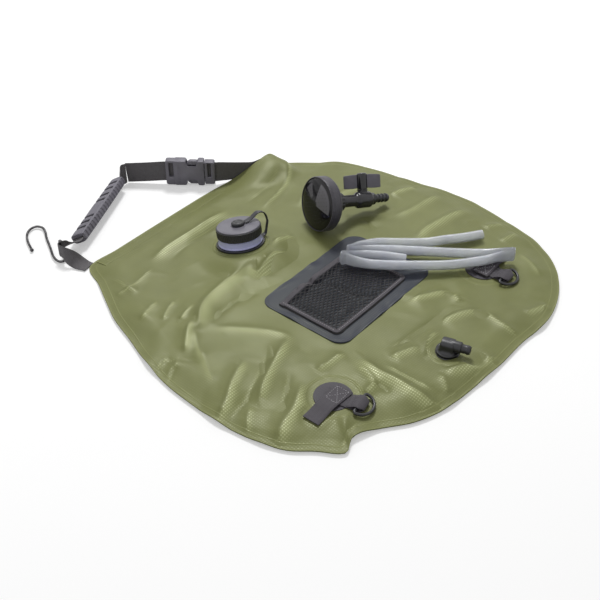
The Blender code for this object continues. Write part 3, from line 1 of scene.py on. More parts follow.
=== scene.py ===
# %% [markdown]
# # A camp shower bag, lying flat
# The bag is two sheets of coated fabric, welded together round the edge. A filler with a screw cap, an
# outlet elbow, two round anchors with their rings and a net pocket are welded to the upper sheet. The
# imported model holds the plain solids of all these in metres, so a new piece needs only the numbers of the
# solid that it covers.

# %% Load the solids
import math

import bmesh
import bpy
import numpy as np
from mathutils import Matrix, Vector


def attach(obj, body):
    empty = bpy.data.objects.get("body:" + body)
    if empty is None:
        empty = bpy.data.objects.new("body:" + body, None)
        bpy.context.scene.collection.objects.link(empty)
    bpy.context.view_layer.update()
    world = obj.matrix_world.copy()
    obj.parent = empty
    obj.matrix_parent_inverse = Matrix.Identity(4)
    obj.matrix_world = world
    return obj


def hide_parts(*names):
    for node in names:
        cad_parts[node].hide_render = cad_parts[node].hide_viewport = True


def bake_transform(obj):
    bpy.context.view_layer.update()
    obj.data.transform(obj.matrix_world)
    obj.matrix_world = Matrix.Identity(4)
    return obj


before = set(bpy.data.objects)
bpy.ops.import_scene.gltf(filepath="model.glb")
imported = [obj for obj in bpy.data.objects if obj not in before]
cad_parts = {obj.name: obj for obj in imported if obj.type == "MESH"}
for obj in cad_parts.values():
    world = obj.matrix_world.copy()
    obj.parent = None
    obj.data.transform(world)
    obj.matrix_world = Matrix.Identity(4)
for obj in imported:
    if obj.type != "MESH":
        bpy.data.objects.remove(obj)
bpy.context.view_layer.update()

# %% [markdown]
# # The camera
# A camera can be placed by eye, by a target empty or by numbers. Here the numbers of a pinhole camera were
# found once, by laying known lengths of the bag over the view, so they are written down: a place, a
# direction and a 60 mm lens on a 36 mm sensor. `to_track_quat` turns a direction into a rotation without
# any roll.

# %% Place the camera
def place_camera(eye, aim, lens):
    """A camera at eye that looks along aim with its top edge level."""
    data = bpy.data.cameras.new("camera")
    data.lens, data.sensor_width = lens, 36.0
    camera = bpy.data.objects.new("camera", data)
    turn = Vector(aim).to_track_quat("-Z", "Y").to_matrix().to_4x4()
    camera.matrix_world = Matrix.Translation(eye) @ turn
    bpy.context.scene.collection.objects.link(camera)
    bpy.context.scene.camera = camera
    return camera


camera = place_camera((-0.7445, -0.5751, 0.74), (0.5956, 0.4939, -0.6335), 60.0)
print("camera height %.2f m" % camera.matrix_world.translation.z)

# %% [markdown]
# # Smooth lines
# Straps, wires and hoses all follow a line. A Bezier curve object could hold each one, but with numpy the
# same line can also carry a width or a twist. `smooth_line` puts a cubic between each two points, and its
# slope at a point is that of the line between the two neighbours. `even` shares the points out.

# %% Line helpers
def ease(t):
    """Goes from 0 to 1 as t does, level at both ends: 3 t squared less 2 t cubed."""
    t = np.clip(t, 0.0, 1.0)
    return t * t * (3 - 2 * t)


def smooth_line(points, steps, closed=False):
    """A cubic between each two points; extra columns, such as a width, are carried along."""
    pts = np.asarray(points, float)
    if closed:
        ring = np.concatenate([pts[-1:], pts, pts[:2]])
    else:
        ring = np.concatenate([2 * pts[:1] - pts[1:2], pts, 2 * pts[-1:] - pts[-2:-1]])
    chord = np.linalg.norm(np.diff(ring[:, :3], axis=0), axis=1)
    slope = (ring[2:] - ring[:-2]) / (chord[:-1] + chord[1:])[:, None]
    t = np.linspace(0, 1, steps, endpoint=False)[None, :, None]
    a, b, h = ring[1:-2, None], ring[2:-1, None], chord[1:-1, None, None]
    rows = ((2 * t ** 3 - 3 * t ** 2 + 1) * a + (t ** 3 - 2 * t ** 2 + t) * h * slope[:-1, None]
            + (3 * t ** 2 - 2 * t ** 3) * b + (t ** 3 - t ** 2) * h * slope[1:, None])
    rows = rows.reshape(-1, pts.shape[1])
    return rows if closed else np.vstack([rows, pts[-1:]])


def lengths(line):
    """How far each point of a line is from its start, measured along it."""
    step = np.linalg.norm(np.diff(line[:, :3], axis=0), axis=1)
    return np.concatenate([[0.0], np.cumsum(step)])


def even(line, count, closed=False):
    """The same line with count points an equal way apart."""
    line = np.vstack([line, line[:1]]) if closed else line
    way = lengths(line)
    at = np.linspace(0, way[-1], count, endpoint=not closed)
    return np.stack([np.interp(at, way, column) for column in line.T], axis=1)


def unit(v):
    """Each vector divided by its own length."""
    return v / np.maximum(np.linalg.norm(v, axis=-1, keepdims=True), 1e-12)


# %% [markdown]
# # One helper for every surface
# All new pieces are grids: rows along the piece, columns round or across it. The helper joins neighbours
# with four-sided faces, closes the ends, and writes a UV map in metres, so a weave keeps its size on every
# strap. It measures the signed volume of the result and turns the faces round if that is negative: normals
# point out.

# %% From a grid to a piece
def surface(name, points, around=True, ends="capped", uv=None, sharp=38.0):
    """A mesh from rows x columns x 3 points. ends is capped, joined (last row to first), open or poles."""
    points = np.asarray(points, float)
    rows, cols = points.shape[:2]
    r = np.arange(rows if ends == "joined" else rows - 1)
    c = np.arange(cols if around else cols - 1)
    r, c = (a.ravel() for a in np.meshgrid(r, c, indexing="ij"))
    corners = [(r, c), (r, c + 1), (r + 1, c + 1), (r + 1, c)]
    quads = np.stack([(i % rows) * cols + j % cols for i, j in corners], axis=1)
    if uv is None:
        whole = np.concatenate([points, points[:1]]) if ends == "joined" else points
        whole = np.concatenate([whole, whole[:, :1]], axis=1) if around else whole
        across = np.linalg.norm(np.diff(whole, axis=1), axis=2).mean(axis=0)
        along = np.linalg.norm(np.diff(whole, axis=0), axis=2).mean(axis=1)
        u, v = (np.concatenate([[0.0], np.cumsum(step)]) for step in (across, along))
        uv = np.stack(np.meshgrid(u, v), axis=2)
    maps = np.stack([uv[i, j] for i, j in corners], axis=1).reshape(-1, 2)
    flat = points.reshape(-1, 3)
    faces = quads.tolist()
    if ends == "capped":
        first, last = np.arange(cols), np.arange(cols) + (rows - 1) * cols
        faces += [first[::-1].tolist(), last.tolist()]
        maps = np.concatenate([maps, uv[0, :cols][::-1], uv[rows - 1, :cols]])
    a, b, d, e = (flat[quads[:, k]] for k in range(4))
    volume = (np.cross(a, b) * d).sum() + (np.cross(a, d) * e).sum()
    if ends == "capped":
        for loop, sign in ((flat[:cols], -1), (flat[-cols:], 1)):
            volume += sign * (np.cross(loop - loop[0], np.roll(loop, -1, axis=0) - loop[0]) @ loop[0]).sum()
    mesh = bpy.data.meshes.new(name)
    mesh.from_pydata(flat.tolist(), [], faces)
    mesh.uv_layers.new(name="uv").data.foreach_set("uv", maps.ravel())
    if volume < 0:
        mesh.flip_normals()
    mesh.shade_smooth()
    mesh.set_sharp_from_angle(angle=math.radians(sharp))
    piece = bpy.data.objects.new(name, mesh)
    bpy.context.scene.collection.objects.link(piece)
    return weld(piece) if ends == "poles" else piece


def weld(piece, apart=2e-6):
    """Merges points that lie on each other, such as the row that shrank to a pole."""
    bm = bmesh.new()
    bm.from_mesh(piece.data)
    bmesh.ops.remove_doubles(bm, verts=bm.verts, dist=apart)
    bm.to_mesh(piece.data)
    bm.free()
    return piece


def together(name, pieces):
    """Several meshes as one piece, for things that are moulded or sewn in one."""
    bm = bmesh.new()
    for piece in pieces:
        bm.from_mesh(piece.data)
        old = piece.data
        bpy.data.objects.remove(piece)
        bpy.data.meshes.remove(old)
    mesh = bpy.data.meshes.new(name)
    bm.to_mesh(mesh)
    bm.free()
    joined = bpy.data.objects.new(name, mesh)
    bpy.context.scene.collection.objects.link(joined)
    return joined


def dress(piece, body, finish, slot, *nodes):
    """Gives a piece its finish, the body that it rides on, if one, and the solids that it stands for."""
    # Blender adds .001 to a name that a solid has already
    piece.name = piece.name.replace(".001", "") + "_shown"
    piece.data.materials.clear()
    piece.data.materials.append(finish)
    if body:
        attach(piece, body)
    if nodes:
        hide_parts(*nodes)
    print("%-20s %6d faces" % (piece.name, len(piece.data.polygons)))
    return piece


# %% [markdown]
# # Tubes, bands and turned shapes
# Three kinds of grid make nearly everything here. A tube carries a ring along a line, and the ring's
# direction is handed on from point to point so that it doesn't twist. A band is flat webbing: its cross-
# section is a long rounded rectangle. A turned shape spins a profile of radius and height, the way a lathe
# would, and its corners are cut back a little first, because no moulded edge is truly sharp.

# %% Tube, band and lathe
def sides_of(line):
    """Two directions square to the line at each point, without twist."""
    along = unit(np.gradient(line, axis=0))
    first = np.cross(along[0], (0.0, 0.0, 1.0) if abs(along[0][2]) < 0.9 else (1.0, 0.0, 0.0))
    sides = [unit(first)]
    for direction in along[1:]:
        sides.append(unit(sides[-1] - direction * np.dot(sides[-1], direction)))
    side = np.array(sides)
    return side, np.cross(along, side)


def tube(name, line, radius, count=14):
    """A round bar: centre + radius (cos t side + sin t up), t once round."""
    line = np.asarray(line, float)
    side, up = sides_of(line)
    t = np.linspace(0, 2 * math.pi, count, endpoint=False)
    size = np.broadcast_to(np.asarray(radius, float), len(line))[:, None, None]
    ring = side[:, None] * np.cos(t)[None, :, None] + up[:, None] * np.sin(t)[None, :, None]
    return surface(name, line[:, None] + size * ring, ends="capped")


def band(name, centres, across, widths, thick, count=9):
    """Webbing: half the width times a share across, plus or minus half the thickness, round at its edges."""
    centres, across = np.asarray(centres, float), np.asarray(across, float)
    along = unit(np.gradient(centres, axis=0))
    across = unit(across - (across * along).sum(1)[:, None] * along)
    up = np.cross(along, across)
    share = np.sin(np.linspace(-math.pi / 2, math.pi / 2, count))
    lift = thick / 2 * np.clip((1 - share ** 8), 0.0, 1) ** 0.5
    a = np.concatenate([share, share[::-1][1:-1]])
    b = np.concatenate([-lift, lift[::-1][1:-1]])
    grid = (centres[:, None] + across[:, None] * (np.asarray(widths)[:, None] / 2 * a)[..., None]
            + up[:, None] * b[None, :, None])
    u = np.concatenate([a, a[:1]])[None] * np.asarray(widths)[:, None] / 2
    v = np.broadcast_to(lengths(centres)[:, None], u.shape)
    return surface(name, grid, uv=np.stack([u, v], axis=2), sharp=60)


def soft_corners(profile, cut, closed=True):
    """Each corner of a profile becomes three points on a small curve; an open profile keeps its ends."""
    p = np.asarray(profile, float)
    before, after = np.roll(p, 1, axis=0) - p, np.roll(p, -1, axis=0) - p
    room = [np.minimum(cut, 0.42 * np.linalg.norm(v, axis=1))[:, None] * unit(v) for v in (before, after)]
    a, c = p + room[0], p + room[1]
    rows = np.stack([a, (a + 2 * p + c) / 4, c], axis=1).reshape(-1, 2)
    return rows if closed else np.vstack([p[:1], rows[3:-3], p[-1:]])


def placed(points, matrix):
    """Local points, or a grid of them, moved to a matrix's place."""
    m = np.array(matrix)
    return points @ m[:3, :3].T + m[:3, 3]


def turned(name, profile, matrix, count=96, cut=0.0004, ripple=None):
    """A profile of (radius, height) spun about the matrix's Z axis; ripple changes the radius. One that
    starts and ends on the axis is closed by its poles, any other is closed on itself."""
    pole = profile[0][0] <= 0 and profile[-1][0] <= 0
    rows = soft_corners(profile, cut, closed=not pole)
    t = np.linspace(0, 2 * math.pi, count, endpoint=False)
    r, s = rows[:, 0][:, None] + 0 * t, rows[:, 1][:, None] + 0 * t
    if ripple:
        r = ripple(t[None], r, s)
    local = np.stack([r * np.cos(t), r * np.sin(t), s], axis=2)
    return surface(name, placed(local, matrix), ends="poles" if pole else "joined")


def superellipse(t, power):
    """A cosine and a sine, each with its sign kept and its size raised to the power."""
    c, s = np.cos(t), np.sin(t)
    return np.sign(c) * np.abs(c) ** power, np.sign(s) * np.abs(s) ** power


def axes(origin, x_axis, y_axis, z_axis):
    """A matrix from three directions and a place."""
    return Matrix.Translation(origin) @ Matrix((x_axis, y_axis, z_axis)).transposed().to_4x4()


# %% [markdown]
# # The hose
# The hose is 12 mm outside and 9 mm inside, 0.68 m long, and it lies on the bag in four runs with three
# sharp folds. A curve with a bevel would stay round at the folds, where a real tube goes flat and stands
# on its edge. So the ring is worked out at each point: round on the runs, and a narrow upright oval of the
# same girth at a fold.

# %% The hose's line
HOSE_R, HOSE_BORE = 0.0060, 0.0045
hose_runs = [
    [(0.1820, -0.1014, 0.0142), (0.1600, -0.0880, 0.0152), (0.1400, -0.0730, 0.0160),
     (0.1197, -0.0590, 0.0168), (0.0950, -0.0325, 0.0180), (0.0770, -0.0155, 0.0202),
     (0.0568, -0.0064, 0.0226)],
    [(0.0505, -0.0145, 0.0228), (0.0701, -0.0295, 0.0202), (0.0900, -0.0520, 0.0182),
     (0.1080, -0.0765, 0.0176), (0.1260, -0.1020, 0.0176), (0.1440, -0.1290, 0.0190)],
    [(0.1485, -0.1462, 0.0202), (0.1322, -0.1345, 0.0184), (0.1128, -0.1192, 0.0180),
     (0.0955, -0.1030, 0.0175), (0.0800, -0.0860, 0.0180), (0.0640, -0.0700, 0.0196),
     (0.0488, -0.0531, 0.0208), (0.0340, -0.0335, 0.0217), (0.0255, -0.0170, 0.0236)],
    [(0.0325, -0.0125, 0.0236), (0.0465, -0.0218, 0.0219), (0.0605, -0.0370, 0.0202),
     (0.0695, -0.0505, 0.0186), (0.0760, -0.0603, 0.0176)]]
hose_folds = [((0.0370, -0.0030, 0.0240), 150.0), ((0.1612, -0.1563, 0.0214), -49.0),
              ((0.0220, -0.0050, 0.0240), 140.0)]
FOLD_BEND, FOLD_LEG, FOLD_SPREAD = 0.0019, 0.0040, 0.0450
FOLD_OUTER, FOLD_BORE = (0.0014, 0.0092), (0.0003, 0.0080)      # half width and half height of a folded ring


def hose_knots():
    """The points of the runs, and at each fold seven points of a tight half turn with short straight legs."""
    rows = []
    for number, run in enumerate(hose_runs):
        rows += run
        if number < len(hose_folds):
            (cx, cy, cz), way = hose_folds[number]
            out = np.array([math.cos(math.radians(way)), math.sin(math.radians(way))])
            side = np.array([-out[1], out[0]])
            side *= np.sign(np.dot(np.array(run[-1][:2]) - np.array(hose_runs[number + 1][0][:2]), side))
            for leg, angle in ((1, -90), (0, -90), (0, -45), (0, 0), (0, 45), (0, 90), (1, 90)):
                a = math.radians(angle)
                forward = FOLD_BEND * math.cos(a) - leg * FOLD_LEG
                at = np.array([cx, cy]) + out * forward - side * FOLD_BEND * math.sin(a)
                rows.append((at[0], at[1], cz))
    return np.array(rows)


hose_line = even(smooth_line(hose_knots(), 8), 420)
hose_way = lengths(hose_line)
print("hose %.3f m long" % hose_way[-1])

# %% The hose's surface
def hose_flatness(line, way):
    """1 at the middle of a fold, easing to 0 over the spread on each side of it."""
    flat = np.zeros(len(line))
    for (cx, cy, _), _ in hose_folds:
        middle = way[np.argmin(np.hypot(line[:, 0] - cx, line[:, 1] - cy))]
        flat = np.maximum(flat, 1 - ease((np.abs(way - middle) - FOLD_BEND) / FOLD_SPREAD))
    return flat


def make_hose(line, way, count=20):
    """Outer rings there and bore rings back: centre + a cos t sideways + b sin t up, with a and b set by how
    flat the hose is."""
    flat = hose_flatness(line, way)[:, None, None]
    along = np.gradient(line, axis=0) * (1, 1, 0)
    side = unit(np.cross((0, 0, 1.0), along))[:, None]
    t = np.linspace(0, 2 * math.pi, count, endpoint=False)[None, :, None]
    rings = []
    for (thin, tall), radius in ((FOLD_OUTER, HOSE_R), (FOLD_BORE, HOSE_BORE)):
        a, b = radius + (thin - radius) * flat, radius + (tall - radius) * flat
        rings.append(line[:, None] + side * a * np.cos(t) + np.array((0, 0, 1.0)) * b * np.sin(t))
    grid = np.concatenate([rings[0], rings[1][::-1]])
    return surface("hose_tube", grid, ends="joined", sharp=50)


hose = make_hose(hose_line, hose_way)

# %% [markdown]
# # Nodes for finishes
# Every finish is a Principled shader with a few procedural nodes in front of it: noise that shifts the
# colour a little, a fine pattern for the bump, and more noise that makes the gloss uneven. A short helper
# adds a node and links it, so that each finish can be read like a recipe.

# %% Node helpers
def node(finish, kind, inputs=None, **settings):
    """Adds one shader node. An input is set to a value, or linked if it is given an output socket."""
    item = finish.node_tree.nodes.new("ShaderNode" + kind)
    for key, value in settings.items():
        setattr(item, key, value)
    for key, value in (inputs or {}).items():
        if isinstance(value, bpy.types.NodeSocket):
            finish.node_tree.links.new(value, item.inputs[key])
        else:
            item.inputs[key].default_value = value
    return item


def sums(finish, operation, a, b=0.0, c=0.0):
    """One step of arithmetic on numbers or sockets."""
    return node(finish, "Math", {0: a, 1: b, 2: c}, operation=operation).outputs[0]


def place_of(finish, on_cloth=False):
    """Object coordinates, or the piece's own UV map, both in metres."""
    return node(finish, "TexCoord").outputs["UV" if on_cloth else "Object"]


def noise(finish, at, scale, detail=3.0, rough=0.5):
    """Cloudy noise from 0 to 1; scale is in clouds per metre."""
    inputs = {"Vector": at, "Scale": scale, "Detail": detail, "Roughness": rough}
    return node(finish, "TexNoise", inputs).outputs[0]


WAVE_PERIOD = 0.31416        # length of one period of the wave node at scale 1, in metres


def ribs(finish, at, pitch, direction="X"):
    """Round ribs a pitch apart, as a wave from 0 to 1; the scale is the wave's own period over the pitch."""
    inputs = {"Vector": at, "Scale": WAVE_PERIOD / pitch, "Distortion": 0.0, "Detail": 0.0}
    return node(finish, "TexWave", inputs, wave_type="BANDS", bands_direction=direction,
                wave_profile="SIN").outputs["Fac"]


def blend_colours(finish, share, low, high, start=0.3, end=0.7):
    """A colour that goes from low to high as share goes from start to end."""
    ramp = node(finish, "ValToRGB", {"Fac": share})
    for stop, (at, colour) in zip(ramp.color_ramp.elements, ((start, low), (end, high))):
        stop.position, stop.color = at, (*colour, 1.0)
    return ramp.outputs[0]


def tint(colour, by):
    """The same colour a share lighter or darker."""
    return tuple(min(1.0, c * (1 + by)) for c in colour)


def raised(finish, height, depth, strength=1.0, under=None):
    """A bump from a height of 0 to 1; depth is how tall 1 is, in metres. Another bump may lie under it."""
    inputs = {"Height": height, "Distance": depth, "Strength": strength}
    if under is not None:
        inputs["Normal"] = under
    return node(finish, "Bump", inputs).outputs[0]


def new_finish(name, colour, rough, **fixed):
    """A Principled material with the values that are the same all over it."""
    finish = bpy.data.materials.new(name)
    finish.use_nodes = True
    shader = finish.node_tree.nodes["Principled BSDF"]
    shader.inputs["Base Color"].default_value = (*colour, 1.0)
    shader.inputs["Roughness"].default_value = rough
    for key, value in fixed.items():
        shader.inputs[key.replace("_", " ")].default_value = value
    return finish, shader


def wire_up(finish, shader, **sockets):
    """Links sockets to the shader's inputs."""
    for key, socket in sockets.items():
        finish.node_tree.links.new(socket, shader.inputs[key.replace("_", " ")])
    return finish


# %% [markdown]
# # Moulded plastic, rubber and steel
# Hard parts share one recipe: a faint cloud in the colour, a leathery grain in the bump from fine noise,
# and scuffs that make the gloss uneven. Only the numbers differ between a glossy spray face and a soft
# rubber grip. Steel has metallic set to one, and brighter metal shows where the noise is high.

# %% Hard finishes
def moulded(name, colour, rough, grain=0.00004, pitch=1400.0, scuff=0.10, **fixed):
    """Plastic: cloudy colour, grained bump and uneven gloss."""
    finish, shader = new_finish(name, colour, rough, **fixed)
    at = place_of(finish)
    cloud = noise(finish, at, 38.0, 4.0)
    scuffs = noise(finish, at, 210.0, 5.0, 0.65)
    colours = blend_colours(finish, cloud, tint(colour, -0.12), tint(colour, 0.14))
    mixed = sums(finish, "MULTIPLY_ADD", scuffs, scuff * 2, rough - scuff)
    bump = raised(finish, noise(finish, at, pitch, 2.0), grain, 0.6)
    return wire_up(finish, shader, Base_Color=colours, Roughness=mixed, Normal=bump)


BLACK, GREY, PAINTED_SHEEN_GREY = (0.017, 0.017, 0.020), (0.165, 0.157, 0.187), (0.175, 0.169, 0.200)
black_plastic = moulded("black_plastic", BLACK, 0.36)
gloss_black = moulded("gloss_black", (0.012, 0.012, 0.014), 0.13, grain=0.000008, scuff=0.05)
pebbled = moulded("pebbled_black", (0.054, 0.050, 0.062), 0.40, grain=0.00080, pitch=520.0)
grey_plastic = moulded("grey_plastic", GREY, 0.48)
# Painted sheen: this pale grey stands for the sheen on the top of the black cap; the hidden ball shares it.
painted_sheen_plastic = moulded("pale_grey_plastic", PAINTED_SHEEN_GREY, 0.34)
seal_rubber = moulded("seal_rubber", (0.022, 0.022, 0.022), 0.72, grain=0.00008, pitch=900.0)
soft_black = moulded("soft_black", (0.020, 0.020, 0.026), 0.34, grain=0.00002)


def drawn_steel(name, colour, rough):
    """Blackened wire: bright metal shows where the finish is rubbed thin."""
    finish, shader = new_finish(name, colour, rough, Metallic=1.0)
    at = place_of(finish)
    wear_and_painted_light = noise(finish, at, 160.0, 5.0, 0.6)
    colours = blend_colours(finish, wear_and_painted_light, tint(colour, -0.35), tint(colour, 1.2), 0.42, 0.70)
    mixed = sums(finish, "MULTIPLY_ADD", noise(finish, at, 500.0), 0.20, rough - 0.1)
    bump = raised(finish, noise(finish, at, 1500.0), 0.00003)
    return wire_up(finish, shader, Base_Color=colours, Roughness=mixed, Normal=bump)


# Painted shade for the floors of the grip's grooves.
PAINTED_SLOT_SHADE = (0.016, 0.015, 0.018)


def grip_finish():
    """Soft grey rubber with painted shade, near black, down in the slots, where a point attribute says so."""
    finish = moulded("grip_rubber", (0.150, 0.142, 0.172), 0.52, grain=0.00010, pitch=1100.0)
    shader = finish.node_tree.nodes["Principled BSDF"]
    surface_colour = shader.inputs["Base Color"].links[0].from_socket
    slot = node(finish, "Attribute", attribute_name="slot").outputs["Fac"]
    both = node(finish, "MixRGB", {"Fac": slot, "Color1": surface_colour, "Color2": (*PAINTED_SLOT_SHADE, 1.0)})
    return wire_up(finish, shader, Base_Color=both.outputs[0])


grip_rubber = grip_finish()
steel = drawn_steel("dark_steel", (0.070, 0.068, 0.070), 0.42)
print("hard finishes ready")

# %% [markdown]
# # Clear plastic
# The hose is clear soft plastic, and the filler's neck is milky with a blue tint. Most light passes
# through the hose, so its transmission is high and its wall has two sides. The neck lets only a little
# light through, and its colour does the rest. Haze in the roughness keeps them from looking like glass.

# %% Clear finishes
def clear_plastic(name, colour, rough, haze, through, **fixed):
    """See-through plastic: haze patches raise the roughness, and slight waves bend what is behind."""
    finish, shader = new_finish(name, colour, rough, Transmission_Weight=through, **fixed)
    at = place_of(finish)
    mist = noise(finish, at, 70.0, 4.0)
    colours = blend_colours(finish, mist, tint(colour, -0.06), tint(colour, 0.05))
    mixed = sums(finish, "MULTIPLY_ADD", mist, haze, rough)
    bump = raised(finish, noise(finish, at, 60.0), 0.00003, 0.3)
    return wire_up(finish, shader, Base_Color=colours, Roughness=mixed, Normal=bump)


clear_hose = clear_plastic("clear_hose", (0.91, 0.93, 1.0), 0.03, 0.03, 0.70, IOR=1.48)
milky_blue = clear_plastic("milky_blue", (0.60, 0.62, 1.0), 0.14, 0.12, 0.05, IOR=1.46)
dress(hose, "hose_coil", clear_hose, "clear_hose", "hose")

# %% [markdown]
# # Cloth finishes
# The olive sheet is a fine woven cloth under a plastic coating, so it has a satin gloss. A painted highlight,
# pale and dotted with the weave, lies on the near sides of the folds, and painted shade darkens the valleys
# behind them. The weave is two sets of ribs at right angles, multiplied. Welds leave fine lines on it: along
# the edge their place is read from the UV map, whose V is the distance from the edge, and round each fitting
# from the distance to its middle. Webbing takes its ribs from its own UV map.

# %% Coated fabric
def pulse(finish, value, at, wide):
    """1 where value is near at, falling to 0 a width away."""
    away = sums(finish, "ABSOLUTE", sums(finish, "SUBTRACT", value, at))
    return sums(finish, "SUBTRACT", 1.0, sums(finish, "MINIMUM", sums(finish, "DIVIDE", away, wide), 1.0))


WEAVE_PITCH, WELD_WIDTH = 0.0028, 0.0011


def weld_lines(finish, at, rings, edges):
    """1 on a weld line and 0 off it: lines at distances from the edge, and rings round places on the bag."""
    edge = node(finish, "SeparateXYZ", {"Vector": place_of(finish, on_cloth=True)}).outputs[1]
    marks = [pulse(finish, edge, place, wide) for place, wide in edges]
    flat = node(finish, "VectorMath", {0: at, 1: (1, 1, 0)}, operation="MULTIPLY").outputs[0]
    for x, y, radius in rings:
        away = node(finish, "VectorMath", {0: flat, 1: (x, y, 0)}, operation="DISTANCE").outputs["Value"]
        marks.append(pulse(finish, away, radius, WELD_WIDTH))
    lines = marks[0]
    for mark in marks[1:]:
        lines = sums(finish, "MAXIMUM", lines, mark)
    return lines


def coated_fabric(name, colour, rings, edges, gloss=0.42):
    """Coated cloth with weld lines; rings holds (x, y, radius) and edges (distance from the edge, width).
    The attribute read here is 1 on the near side of a fold, where a painted highlight makes the cloth paler
    and its weave show, and below 0 behind the fold, where painted shade darkens it."""
    finish, shader = new_finish(name, colour, 0.40)
    shader.inputs["Specular Tint"].default_value = (0.95, 0.98, 0.72, 1.0)
    at = place_of(finish)
    lines = weld_lines(finish, at, rings, edges)
    painted_fold_light = node(finish, "Attribute", attribute_name="painted_fold_light").outputs["Fac"]
    weave = sums(finish, "MULTIPLY", ribs(finish, at, WEAVE_PITCH, "X"), ribs(finish, at, WEAVE_PITCH, "Y"))
    cloud = noise(finish, at, 9.0, 5.0, 0.6)
    stain = noise(finish, at, 45.0, 4.0, 0.6)
    share = sums(finish, "MULTIPLY_ADD", stain, 0.35, sums(finish, "MULTIPLY", cloud, 0.65))
    # Painted light and shade: lighter on the near sides of the folds, darker in the valleys behind them.
    share = sums(finish, "MULTIPLY_ADD", painted_fold_light, 0.30, share)
    share = sums(finish, "MULTIPLY_ADD", lines, 0.34, share)
    plain = blend_colours(finish, share, tint(colour, -0.18), tint(colour, 0.16), 0.28, 0.85)
    # Painted highlight: a pale colour, dotted with the weave, on the near sides of the folds.
    dotted = sums(finish, "MULTIPLY_ADD", weave, 0.95, 0.30)
    wear_and_painted_light = sums(finish, "MULTIPLY", sums(finish, "MAXIMUM", painted_fold_light, 0.0), dotted)
    wear_and_painted_light = sums(finish, "MULTIPLY", wear_and_painted_light, sums(finish, "ADD", noise(finish, at, 55.0, 3.0), 0.30))
    light = (*tint(colour, 2.0)[:2], colour[2] * 4.1, 1.0)
    colours = node(finish, "MixRGB", {"Fac": wear_and_painted_light, "Color1": plain, "Color2": light}).outputs[0]
    rough = sums(finish, "MULTIPLY_ADD", noise(finish, at, 120.0, 5.0, 0.65), 0.12, 0.42)
    rough = sums(finish, "MULTIPLY_ADD", weave, -0.16, rough)
    dots = sums(finish, "MULTIPLY", weave, sums(finish, "MULTIPLY_ADD", painted_fold_light, 1.3, 0.45))
    shine = sums(finish, "MULTIPLY_ADD", dots, gloss, gloss * 0.62)
    under = raised(finish, noise(finish, at, 90.0, 3.0, 0.5), 0.0006, 0.30)
    cloth = raised(finish, weave, 0.00005, 0.50, under)
    bump = raised(finish, lines, 0.00025, 0.60, cloth)
    return wire_up(finish, shader, Base_Color=colours, Roughness=rough, Specular_IOR_Level=shine, Normal=bump)


OLIVE, SLATE = (0.205, 0.218, 0.085), (0.056, 0.061, 0.083)
LEFT_RING, RIGHT_RING, OUTLET_AT = (-0.155, -0.131), (0.130, -0.135), (-0.022, -0.184)
ANCHOR_WELDS, OUTLET_WELDS = (0.0295, 0.0315), (0.0190, 0.0208)
fittings = ((LEFT_RING, ANCHOR_WELDS), (RIGHT_RING, ANCHOR_WELDS), (OUTLET_AT, OUTLET_WELDS))
welds = [(*place, radius) for place, radii in fittings for radius in radii]
olive = coated_fabric("olive_fabric", OLIVE, welds, [(0.0085, 0.0009), (0.0010, 0.0012)])
print("weld rings", len(welds))

# %% Webbing, patch and net
def webbing(name, colour, rough, pitch=0.0016, depth=0.00022):
    """Flat woven strap: slanted ribs that turn back every 2.5 mm, as a herringbone, over fine long ribs."""
    finish, shader = new_finish(name, colour, rough, Sheen_Weight=0.25, Sheen_Roughness=0.4)
    at = place_of(finish, on_cloth=True)
    parts = node(finish, "SeparateXYZ", {"Vector": at})
    aside = sums(finish, "PINGPONG", parts.outputs[0], 0.0025)
    along = sums(finish, "MULTIPLY_ADD", aside, 0.7, parts.outputs[1])
    slant = node(finish, "CombineXYZ", {0: aside, 1: along}).outputs[0]
    weave = ribs(finish, slant, pitch, "Y")
    warp = ribs(finish, at, 0.0009, "X")
    both = sums(finish, "MULTIPLY_ADD", weave, 0.7, sums(finish, "MULTIPLY", warp, 0.3))
    fluff = noise(finish, place_of(finish), 300.0, 5.0, 0.7)
    share = sums(finish, "MULTIPLY_ADD", fluff, 0.5, sums(finish, "MULTIPLY", both, 0.5))
    colours = blend_colours(finish, share, tint(colour, -0.30), tint(colour, 0.45), 0.25, 0.8)
    mixed = sums(finish, "MULTIPLY_ADD", fluff, 0.2, rough - 0.1)
    bump = raised(finish, both, depth, 0.8, raised(finish, fluff, 0.0002, 0.4))
    return wire_up(finish, shader, Base_Color=colours, Roughness=mixed, Normal=bump)


strap_black = webbing("strap_webbing", (0.098, 0.092, 0.098), 0.66)
tape_black = webbing("tape_webbing", (0.042, 0.036, 0.045), 0.62, 0.0014)
slate_patch = coated_fabric("slate_patch", SLATE, [], [(0.0040, 0.0008)], 0.25)
net_black = moulded("net_black", (0.011, 0.010, 0.013), 0.55, grain=0.0001, pitch=2500.0)
disc_black = webbing("disc_webbing", (0.036, 0.031, 0.040), 0.55, 0.0011, 0.00015)
net_edge = coated_fabric("net_edge", (0.036, 0.035, 0.041), [], [(0.0030, 0.0006)], 0.25)
print("cloth finishes ready")

# %% [markdown]
# # The bag's shape
# The bag could be inflated by a cloth simulation, but an empty one lies almost flat and its look is in its
# folds. So its height is a plain function of x and y: a flat plateau that thins to the welded seam, the
# lifted corner, the leaning mound round the filler, and a list of folds. Each fold is a line with a height
# and two widths, one for its near side and one for its far side, because coated cloth buckles with a steep
# side and a gentle one.

